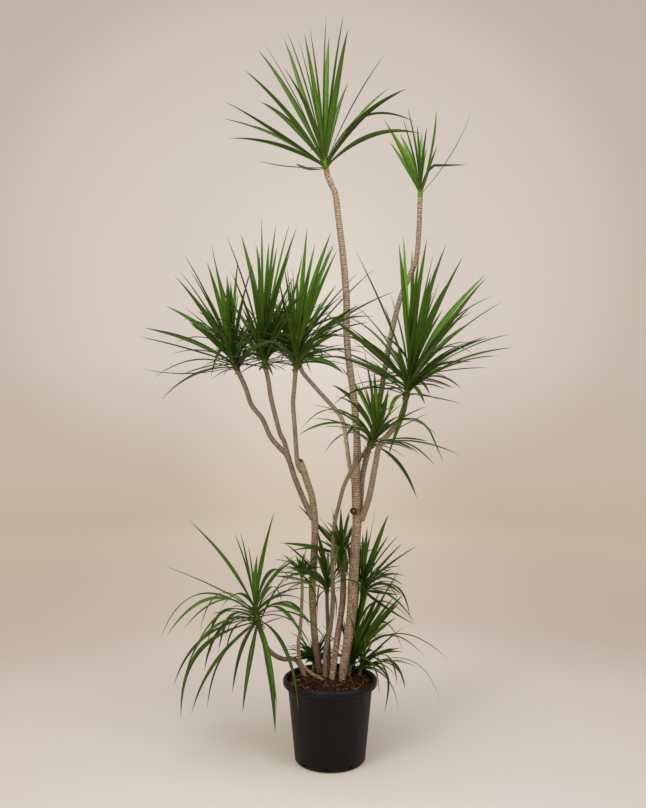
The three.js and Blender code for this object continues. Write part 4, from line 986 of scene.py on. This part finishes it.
            ((-52, 84, 306), (-20, 92, 352), (10, 96, 330), 12),
            ((-56, 80, 304), (-76, 50, 332), (-84, 20, 318), 12),
            ((-60, 86, 308), (-84, 84, 380), (-110, 80, 400), 10),
        ],
    ),
}
FRESH_HEADS = ("head_crown", "head_top_right")  # young, with slim bases and few leaves to the sides
UPRIGHT_HEADS = (*FRESH_HEADS, "head_left_outer", "head_left_middle", "head_left_inner")
CANE_SWELL = 0.035
GAP = 0.3  # mm between a cane and its head
GOLDEN_TURN = math.pi * (3 - math.sqrt(5))
GOLDEN_SHARE = 0.618034
SEEN_LENGTHS, UNSEEN_LENGTHS, FILLING_LENGTHS = (0.88, 1.04), (0.74, 0.94), (0.6, 0.97)
WIDTHS = (0.85, 1.15)
ROLLS = (-0.45, 0.45)
DEPTHS = (0.45, 0.95)
LEAST_TILT = 14
ASIDE = (-0.75, 0.75)
ROOTS, FILLING_ROOTS = (0.24, 0.98), (0.03, 0.9)
LEAST_ARCH = 0.02
LEAST_DEPTH = 0.15
LONGEST_THIN = 300
CLEARANCE = 1.6
FLOOR_CLEARANCE, POT_CLEARANCE = 14, 12
HEART_REACH = 60  # mm from the end of the cane in which leaves may stand close
OWN_REACH, OWN_CLEARANCE = 90, 6.0  # beyond it, leaves of one head keep their middle lines this far apart
SAMPLES = 8  # tested on each stretch of a leaf
TRIES = 90
SWING, STRAY = 9, 0.35  # mm that a tip moves with each try, along the line of sight and in the picture
CROSSING_NOISE = 0.045


def draws(seed):
    """Repeatable draws between 0 and 1."""
    state = seed
    while True:
        state = (state * 1664525 + 1013904223) % 4294967296
        yield state / 4294967296


def between(limits, share):
    return limits[0] + (limits[1] - limits[0]) * share


def laid_width(t):
    """A leaf's width as it is laid out, as a share of its widest."""
    return np.minimum(1, 0.22 + 2 * t) * (1 - t**4.5)


def laid_stations(arch, seen):
    """The places along a leaf that are tested against what stands near it."""
    if abs(arch) < 0.05 and not seen:
        return [0, 0.55, 1]
    if abs(arch) < 0.09:
        return [0, 0.3, 0.76, 1]
    return [0, 0.26, 0.54, 0.8, 1] if abs(arch) < 0.22 else [0, 0.2, 0.42, 0.63, 0.83, 1]


def leaf_line(root, tip, arch):
    """A leaf's curve as its three control points, with its sideways direction."""
    chord = unit(tip - root)
    lift = np.array([0, 0, 1]) - chord * chord[2]
    lift = unit(lift) if np.linalg.norm(lift) >= 1e-3 else np.array([0, 1, 0])
    control = (root + tip) / 2 + lift * 2 * arch * np.linalg.norm(tip - root)
    return (root, control, tip), np.cross(chord, lift)


def on_curve(curve, t):
    t = np.asarray(t, float)[:, None]
    return (1 - t) ** 2 * curve[0] + 2 * (1 - t) * t * curve[1] + t**2 * curve[2]


class Bars:
    """Round bars that a new leaf keeps clear of, each with the piece that it belongs to."""

    def __init__(self):
        self.count = 0
        self.start, self.run = np.zeros((6000, 3)), np.zeros((6000, 3))
        self.radius, self.owner = np.zeros(6000), np.full(6000, "", object)

    def add(self, a, b, radius, owner):
        n = self.count
        self.start[n], self.run[n], self.radius[n], self.owner[n] = a, b - a, radius, owner
        self.count += 1

    def gaps(self, points):
        """The distance from each point to each bar's middle line."""
        start, run = self.start[: self.count], self.run[: self.count]
        off = points[:, None] - start
        share = np.clip((off * run).sum(2) / (run * run).sum(1), 0, 1)
        return np.linalg.norm(off - share[..., None] * run, axis=2)


def along_sight(point, depth):
    """Moves a point away from the viewer by a depth, so that it keeps its place in the picture."""
    sight = point - VIEWER
    return point + sight * (depth / sight[1])


def is_clear(line, stations, width, name, head, among_leaves=False):
    shares = np.arange(SAMPLES) / SAMPLES
    stretches = range(len(line) - 1)
    points = np.concatenate([line[k] + shares[:, None] * (line[k + 1] - line[k]) for k in stretches])
    at = np.concatenate([stations[k] + shares * (stations[k + 1] - stations[k]) for k in stretches])
    half = width * laid_width(at) / 2
    from_heart = points - head["heart"]
    away = np.linalg.norm(from_heart, axis=1)
    over_pot = np.hypot(points[:, 0], points[:, 1]) < RIM_RADIUS + POT_CLEARANCE
    lowest = np.where(over_pot, POT_HEIGHT + POT_CLEARANCE, FLOOR_CLEARANCE)
    if ((away > HEART_REACH) & (points[:, 2] < lowest)).any():
        return False
    owner = bars.owner[: bars.count]
    need = half[:, None] + bars.radius[: bars.count] + CLEARANCE
    need = np.where(owner == name, np.where(away > OWN_REACH, OWN_CLEARANCE, -1)[:, None], need)
    free = (from_heart @ head["axis"] > half + 1) & (away < HEART_REACH)
    need = np.where((owner == head["cane"][0]) & free[:, None], -1, need)
    if among_leaves:
        need[:, cane_bars:] = -1
    return not (bars.gaps(points) < need).any()


def settle(leaf, name, head):
    """A leaf that would touch another swings to or from the viewer until it passes clear."""
    stations = laid_stations(leaf["arch"], leaf["seen"])
    for k in range(TRIES):
        tip = along_sight(leaf["tip"], SWING * math.ceil(k / 2) * (1 if k % 2 else -1))
        tip = tip + np.array([math.cos(k * GOLDEN_TURN), 0, math.sin(k * GOLDEN_TURN)]) * STRAY * k
        curve, side = leaf_line(leaf["root"], tip, leaf["arch"])
        line = on_curve(curve, stations)
        if is_clear(line, stations, leaf["width"], name, head):
            return {**leaf, "curve": curve, "side": side, "line": line, "stations": stations}
    return None


def plan_leaves(head, draw):
    """Where the leaves of a head are meant to go."""
    plan = []

    def intend(way, arch, **more):
        width, roll = head["width"] * between(WIDTHS, next(draw)), between(ROLLS, next(draw))
        plan.append({"way": way, "arch": arch, "width": width, "roll": roll, **more})

    for i, (across, up, *more) in enumerate(head["seen"]):
        flat = math.hypot(across, up)
        length = head["reach"] * between(SEEN_LENGTHS, next(draw))
        depth = math.sqrt(max(length**2 - flat**2, (LEAST_DEPTH * length) ** 2))
        side = more[1] if len(more) > 1 else (1 if i % 2 else -1)
        away = side * depth * between(DEPTHS, next(draw))
        way = along_sight(head["heart"] + np.array([across, 0, up]), away) - head["heart"]
        steepness = min(1, max(-0.2, up / flat))
        intend(way, more[0] if more else LEAST_ARCH + head["droop"] * (1 - steepness), seen=True, listed=i)
    for i in range(head["unseen"]):
        age = (i + 0.5) / head["unseen"]
        tilt = math.radians(between((LEAST_TILT, head["spread"]), age**0.85))
        turn = (1 if i % 2 else -1) * math.pi / 2 + between(ASIDE, (i * GOLDEN_SHARE + next(draw)) % 1)
        out = math.sin(tilt)
        way = np.array([math.cos(turn) * out, math.sin(turn) * out, math.cos(tilt)])
        way = way * head["reach"] * between(UNSEEN_LENGTHS, next(draw))
        intend(way, LEAST_ARCH + 1.4 * head["droop"] * age, seen=False)
    for k, leaf in enumerate(sorted(plan, key=lambda leaf: unit(leaf["way"])[2])):
        share = k / (len(plan) - 1)
        leaf["age"] = 1 - share
        leaf["root"] = head["heart"] + head["axis"] * head["core"][1] * between(ROOTS, share)
        leaf["tip"] = head["heart"] + leaf["way"]
    return plan


bars = Bars()
for name, routes in CANES.items():
    for radii, route in routes.values():
        line = smooth_line(route, 4 * (len(route) - 1) + 1)
        thick = np.interp(np.linspace(0, 1, len(line)), np.linspace(0, 1, len(radii)), radii)
        for start, end, radius in zip(line, line[1:], thick):
            bars.add(start, end, radius * (1 + CANE_SWELL) + 1, name)
cane_bars = bars.count
for name, head in HEADS.items():
    cane, branch = head["cane"]
    before_last, last = np.array(CANES[cane][branch][1][-2:], float)
    head["heart"], head["axis"] = last, unit(last - before_last)
    bars.add(last, last + head["axis"] * head["core"][1], head["core"][0], name)
for i, head in enumerate(HEADS.values()):
    head["plan"], head["leaves"] = plan_leaves(head, draws(101 + 7 * i)), []
for seen in (True, False):
    for name, head in HEADS.items():
        for leaf in head["plan"]:
            made = settle(leaf, name, head) if leaf["seen"] == seen else None
            if not made:
                continue
            head["leaves"].append(made)
            line, widths = made["line"], laid_width(np.array(made["stations"], float))
            for start, end, widest in zip(line, line[1:], np.maximum(widths[:-1], widths[1:])):
                bars.add(start, end, made["width"] * widest / 2, name)

# Between those stand more leaves, which may cross them: each goes between two that are neighbours and is a
# little shorter. Thin old ones lean out all round the stem.
stations = laid_stations(0.2, False)
for i, (name, head) in enumerate(HEADS.items()):
    draw = np.random.default_rng(900 + i)
    grown = head["leaves"]
    ways = np.array([leaf["curve"][2] - head["heart"] for leaf in grown])
    lengths, ways = np.linalg.norm(ways, axis=1), unit(ways)
    head["filling"] = []
    for _ in range(int(head["filled"] * len(grown))):
        a = draw.integers(len(grown))
        b = np.argsort(-ways @ ways[a])[draw.integers(1, 5)]
        share = draw.uniform(0.2, 0.8)
        way = unit(ways[a] * (1 - share) + ways[b] * share + draw.normal(0, CROSSING_NOISE, 3))
        if name in UPRIGHT_HEADS and way[2] < 0.2:
            continue
        filler = {key: between((grown[a][key], grown[b][key]), share) for key in ("arch", "age", "width")}
        length = between((lengths[a], lengths[b]), share) * between(FILLING_LENGTHS, draw.uniform())
        root = head["heart"] + head["axis"] * head["core"][1] * between(FILLING_ROOTS, 1 - filler["age"])
        filler["curve"], filler["side"] = leaf_line(root, head["heart"] + way * length, filler["arch"])
        if is_clear(on_curve(filler["curve"], stations), stations, filler["width"], name, head, True):
            head["filling"].append({**filler, "roll": between(ROLLS, draw.uniform())})
    for _ in range(head["thin"]):
        turn, rise = draw.uniform(0, 2 * math.pi), draw.uniform(-0.25, 0.95)
        length = min(LONGEST_THIN, 1.15 * head["reach"]) * draw.uniform(0.35, 0.9)
        flat = math.cos(rise)
        way = np.array([math.cos(turn) * flat, 0.7 * math.sin(turn) * flat, math.sin(rise)])
        up_stem = head.get("stem", 0.6) * draw.uniform(-0.3 if name == "head_right" else 0.03, 0.9)
        root = head["heart"] + head["axis"] * head["core"][1] * up_stem
        arch, width = draw.uniform(0.02, 0.16), 0.74 * head["width"] * draw.uniform(0.6, 1.2)
        curve, side = leaf_line(root, root + way * length, arch)
        if is_clear(on_curve(curve, stations), stations, width, name, head, True):
            thin = {"curve": curve, "side": side, "roll": between(ROLLS, draw.uniform()), "arch": arch}
            head["filling"].append({**thin, "width": width, "age": draw.uniform(0.5, 1.0)})

LEAF_STEPS = 20
ACROSS = np.array([-1, -0.55, 0, 0.55, 1, 0.55, 0, -0.55])
UNDER = np.array([0.5, 0, 0, 0, 0.5, 1, 1, 1])
LEAF_SPOTS = np.linspace(0, 1, LEAF_STEPS) ** 0.92
LEAF_FACES = skin_faces(LEAF_STEPS, len(ACROSS))
LEAF_NUMBERS = {
    "along": np.repeat(LEAF_SPOTS, len(ACROSS)),
    "across": np.tile(ACROSS, LEAF_STEPS),
    "under": np.tile(UNDER, LEAF_STEPS),
}
LEAF_THICKNESS = 0.9  # mm at the midrib
BROADEN = 1.08  # a channelled leaf looks narrower than the flat width that it is laid out with
UNSEEN_WIDTH, THREAD_WIDTH = 0.62, 0.45  # shares of the width that is laid out
FRESH_REACH, FRESH_ROOTS = 70, 0.4  # mm to the side, and the share of the core that holds the leaves
BROKEN_ARCH, BROKEN_AT = 0.4, 0.75  # in the middle head one wide arch is broken, this far along


def turned_about(vector, axis, angle):
    """vector turned about unit axes by angles, row by row."""
    c, s = np.cos(angle)[:, None], np.sin(angle)[:, None]
    return vector * c + np.cross(axis, vector) * s + axis * (axis * vector).sum(1)[:, None] * (1 - c)


def shown(leaf, face):
    """The sideways direction of a leaf that turns this share of its face to the front. One that arches keeps
    closer to the way that it bends."""
    chord = leaf["curve"][2] - leaf["curve"][0]
    opened = np.cross(chord, leaf["curve"][1] - VIEWER)
    opened = unit(opened) * np.sign(opened @ leaf["side"] + 1e-9)
    edge_on = np.cross(chord, opened)
    edge_on = unit(edge_on) * np.sign(edge_on @ leaf["side"] + 1e-9)
    side = opened * face + edge_on * math.sqrt(1 - face**2)
    share = 1 if abs(leaf["arch"]) < 0.1 else 0.85 if abs(leaf["arch"]) < 0.21 else 0.55
    return unit(side * share + leaf["side"] * (1 - share))


def leaf_skin(curve, side, width, roll, draw, fold=None):
    """The points of one leaf: a long blade, channelled along the midrib, from its clasping base to a
    drawn-out tip. fold is the share of its length at which a broken leaf hangs down from its own bend."""
    t = LEAF_SPOTS[:, None]
    centre = on_curve(curve, LEAF_SPOTS)
    if fold:
        hinge = on_curve(curve, [fold])[0]
        centre = np.where(t > fold, hinge + (curve[2] - hinge) * ((t - fold) / (1 - fold)), centre)
    ways = unit(np.gradient(centre, axis=0))
    angle = roll + 0.8 * draw.uniform(-1, 1) * t**1.5 + 0.25 * draw.uniform(-1, 1) * np.sin(3 * t)
    across = unit(turned_about(np.cross(ways, np.cross(side, ways)), ways, angle[:, 0]))
    above = np.cross(across, ways)
    # A slight sideways sweep, none at the root and the tip.
    length = np.linalg.norm(curve[2] - curve[0])
    centre = centre + across * (0.014 * length * draw.uniform(-1, 1) * np.sin(math.pi * t) ** 2)
    body = 0.34 + 0.66 * smooth_step(0.0, 0.46, t)
    sheath = 0.5 * np.exp(-t / 0.02)
    taper = 1 - t**2.8
    edge_wave = 1 + 0.02 * np.sin(9 * t + draw.uniform(0, 6))
    half = BROADEN * width / 2 * (body + sheath) * taper * edge_wave
    channel = 0.55 * np.exp(-t / 0.1) + draw.uniform(0.24, 0.46) + 0.2 * t**2
    thick = LEAF_THICKNESS * (0.55 + 0.9 * np.exp(-t / 0.08)) * np.clip(2.2 * (1 - t), 0.12, 1)
    rise = half * channel * (abs(ACROSS) ** 1.3 - 0.45) - thick * UNDER * (1 - 0.7 * abs(ACROSS))
    ring = across[:, None] * (half * ACROSS)[..., None] + above[:, None] * rise[..., None]
    return (centre[:, None] + ring).reshape(-1, 3)


leaf_blade, node = finish_of("waxy_leaf_blade")
# A tough leaf with a thin wax bloom: satin, deep green above and greyer below, fresh green while young.
# Fine veins run its whole length, the margin is a thread of maroon, and old tips dry to straw.
MOTTLE = 28  # mm
VEINS = 11  # across a blade
coordinates = node("TexCoord").outputs["Object"]
BLADE_NUMBERS = ("along", "across", "under", "age", "tint", "lightness")
read = [node("Attribute", attribute_name=number).outputs["Fac"] for number in BLADE_NUMBERS]
along, across, under, age, tint, lightness = read
mottle = node("TexNoise", {"Vector": coordinates, "Scale": 1 / (MOTTLE * MM), "Detail": 3})
age_shift = node("Math", {0: mottle, 1: 0.3, 2: -0.15}, operation="MULTIPLY_ADD")
aged = node("Math", {0: age, 1: age_shift}, operation="ADD")
GREENS = [(0.0, "4f7d0d"), (0.14, "42680a"), (0.5, "395a09"), (1.0, "324d0b")]
greens = node("ValToRGB", {0: aged}, stops=GREENS)
clasp = node("MapRange", {0: along, 1: 0.075, 2: 0.015, 4: 0.75})
based = node("Mix", {0: clasp, 6: greens, 7: colour("6f8432")}, data_type="RGBA")
own_shade = node("MapRange", {0: tint, 3: 0.6, 4: 1.3})
# Each leaf's own tone is multiplied by its head's painted shading, a painted shade that darkens the heads
# that stand in shade.
tone_and_painted_shade = node("Math", {0: own_shade, 1: lightness}, operation="MULTIPLY")
shaded = node("HueSaturation", {"Value": tone_and_painted_shade, "Color": based})
vein_wave = node("Math", {0: across, 1: VEINS * math.pi}, operation="MULTIPLY")
vein = node("Math", {0: vein_wave}, operation="COSINE")
vein_light = node("MapRange", {0: vein, 1: -1, 2: 1, 4: 0.12})
veined = node("Mix", {0: vein_light, 6: shaded, 7: colour("6b8f1c")}, data_type="RGBA")
off_middle = node("Math", {0: across}, operation="ABSOLUTE")
midrib = node("MapRange", {0: off_middle, 1: 0.16, 2: 0.04, 4: 0.3})
ribbed_green = node("Mix", {0: midrib, 6: veined, 7: colour("7a9a35")}, data_type="RGBA")
under_share = node("Math", {0: under, 1: 0.22}, operation="MULTIPLY")
backed = node("Mix", {0: under_share, 6: ribbed_green, 7: colour("4d6628")}, data_type="RGBA")
margin = node("MapRange", {0: off_middle, 1: 0.86, 2: 1.0, 4: 0.6})
edged = node("Mix", {0: margin, 6: backed, 7: colour("3a2018")}, data_type="RGBA")
dry_start = node("MapRange", {0: age, 3: 0.995, 4: 0.9})
dry_end = node("Math", {0: dry_start, 1: 0.03}, operation="ADD")
dried = node("MapRange", {0: along, 1: dry_start, 2: dry_end, 4: 0.85})
tipped = node("Mix", {0: dried, 6: edged, 7: colour("7b6038")}, data_type="RGBA")
ribbed = node("Bump", {"Strength": 0.25, "Distance": 0.0003, "Height": vein})
bloom = node("MapRange", {0: mottle, 1: 0.3, 2: 0.7, 3: 0.34, 4: 0.5})
waxy = {"Base Color": tipped, "Roughness": bloom, "IOR": 1.42, "Specular IOR Level": 0.17, "Normal": ribbed}
node("OutputMaterial", {"Surface": node("BsdfPrincipled", waxy)})

CORE_SIDES = 20
for order, (name, head) in enumerate(HEADS.items()):
    draw = np.random.default_rng(500 + order)
    head_form = Form()
    light = head["light"]
    fresh = name in FRESH_HEADS

    # The stem's tip, hidden in the leaf bases.
    radius, length = head["core"]
    length *= head.get("stem", 1)
    stem_line = [head["heart"] + head["axis"] * (GAP + length * s) for s in (0, 0.5, 1)]
    centres, ways, at = evenly(stem_line, 3)
    cane, branch = head["cane"]
    cane_end = CANES[cane][branch][0][-1]
    s = at / at[-1]
    thick = cane_end + (radius * 0.92 - cane_end) * smooth_step(0, 0.3, s) - 0.5 * radius * s**2
    frames = zip(centres, *carried_frames(ways), thick)
    tip_of = {"along": 0.03, "across": 0.0, "under": 0.3, "age": 0.4, "tint": 0.5, "lightness": light}
    # Among older leaves the stem's tip is old green and painted darker, as painted shade among the leaf
    # bases.
    if not fresh:
        tip_of |= {"along": 0.3, "age": 1.0, "tint": 0.3, "lightness": 0.7 * light}
    head_form.skin([ring_of(centre, n * r, b * r, CORE_SIDES) for centre, n, b, r in frames], **tip_of)

    extra = []
    for root, bend, tip, width, *broken in head.get("extra", []):
        curve = np.array([root, bend, tip], float)
        side = unit(np.cross(curve[2] - curve[0], (0, -1, 0)))
        extra.append({"curve": curve, "side": side, "width": width, "roll": 0.5, "arch": 0, "age": 0.5})
        extra[-1]["fold"] = broken[0] if broken else None
    for leaf in head["leaves"] + head["filling"] + extra:
        root, bend, tip = leaf["curve"]
        side, width, roll = leaf["side"], leaf["width"], leaf["roll"]
        if not leaf.get("seen", True):
            width *= UNSEEN_WIDTH
            if fresh and abs(tip[0] - root[0]) > FRESH_REACH:
                continue
        if "faces" in head and "listed" in leaf:
            face = head["faces"][leaf["listed"]] / 10
            if not face:
                continue
            side, roll = shown(leaf, min(face, 1)), 0.35 * roll
            width *= max(face, 1) if face > 0.1 else THREAD_WIDTH
        if fresh:
            root = head["heart"] + (root - head["heart"]) * FRESH_ROOTS
        broken = name == "head_middle" and leaf["arch"] > BROKEN_ARCH
        fold = BROKEN_AT if broken else leaf.get("fold")
        skin = leaf_skin((root, bend, tip), side, width, roll, draw, fold)
        own = {"age": leaf["age"] + head["older"], "tint": draw.uniform(0, 1), "lightness": light}
        head_form.put(skin, LEAF_FACES, **LEAF_NUMBERS, **own)
    made = head_form.make(name + "_leaves", leaf_blade, sharp=60)
    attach(made, "root")
    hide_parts(name)

# ---- Dry leaf bases ------------------------------------------------------------------------------------
# Under a head the bases of dropped leaves stay on for a while: short papery straps, straw to brown, that
# clasp the cane and curl away from it. One or two whole dead leaves hang there too.

# For each branch: how many straps, and how far below the cane's end the lowest and the highest stand.
STRAPS = {
    ("cane_slim", "trunk"): (34, 74, -8), ("cane_main", "right"): (12, 20, -6),
    ("cane_left", "left"): (8, 12, -4), ("cane_left", "middle"): (6, 10, -4),
    ("cane_left", "inner"): (8, 12, -4), ("cane_main", "crossing"): (6, 10, -4),
    ("cane_low_left", "trunk"): (10, 18, -4), ("cane_centre", "trunk"): (8, 24, -4),
}
STRAP_LENGTHS = (16, 40)
STRAP_WIDTHS = (6, 11)
STRAP_CURLS = (0.15, 0.8)
STRAP_SINK = 0.6  # mm into the bark
DEAD_LEAVES = [
    # root, the middle that it bends over, tip, width
    ((-318, 14, 1324), (-352, 4, 1336), (-404, -4, 1290), 14),
    ((250, -70, 1226), (236, -92, 1206), (228, -96, 1138), 12),
    ((128, -38, 1056), (112, -60, 1052), (108, -64, 1000), 9),
]

dry_sheath, node = finish_of("dry_leaf_sheath")
# Dead leaf, dry and matt like thin paper: straw-coloured where it is clean, brown where it has rotted.
SHEATH_FIBRE = 4  # mm
coordinates = node("TexCoord").outputs["Object"]
drawn_out = node("VectorMath", {0: coordinates, 1: (1, 1, 0.35)}, operation="MULTIPLY")
fibres = node("TexNoise", {"Vector": drawn_out, "Scale": 1 / (SHEATH_FIBRE * MM), "Detail": 4})
STRAWS = [(0.32, "3b2a1a"), (0.48, "6e5738"), (0.64, "94805a"), (0.8, "b3a27c")]
straw = node("ValToRGB", {0: fibres}, stops=STRAWS)
ribs = node("Bump", {"Strength": 0.5, "Distance": 0.0006, "Height": fibres})
papery = {"Base Color": straw, "Roughness": 0.8, "Specular IOR Level": 0.3, "Normal": ribs}
node("OutputMaterial", {"Surface": node("BsdfPrincipled", papery)})

draw = np.random.default_rng(77)
strap_form = Form()
for (cane, branch), (count, lowest, highest) in STRAPS.items():
    radii, route = CANES[cane][branch]
    centres, ways, at = evenly(route, CANE_STEP)
    normals, binormals = carried_frames(ways)
    for k in range(count):
        below = between((lowest, highest), (k + draw.uniform(0, 1)) / count)
        place = min(len(at) - 1, np.searchsorted(at, at[-1] - below))
        turn, way = k * GOLDEN_TURN, ways[place]
        out = normals[place] * math.cos(turn) + binormals[place] * math.sin(turn)
        root = centres[place] + way * max(0, -below) + out * (radii[-1] - STRAP_SINK)
        length = between(STRAP_LENGTHS, draw.uniform(0, 1) ** 1.4)
        curl = between(STRAP_CURLS, draw.uniform(0, 1))
        bend = root + way * length * 0.5 + out * 1.5
        tip = root + way * length * (0.9 - 0.8 * curl) + out * length * curl
        width = between(STRAP_WIDTHS, draw.uniform(0, 1))
        strap_form.put(leaf_skin((root, bend, tip), np.cross(way, out), width, 0.0, draw), LEAF_FACES)
for *curve, width in DEAD_LEAVES:
    strap_form.put(leaf_skin(np.array(curve, float), (0.3, 1, 0.2), width, 0.0, draw), LEAF_FACES)
straps = strap_form.make("dry_leaf_bases", dry_sheath, sharp=60)
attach(straps, "root")
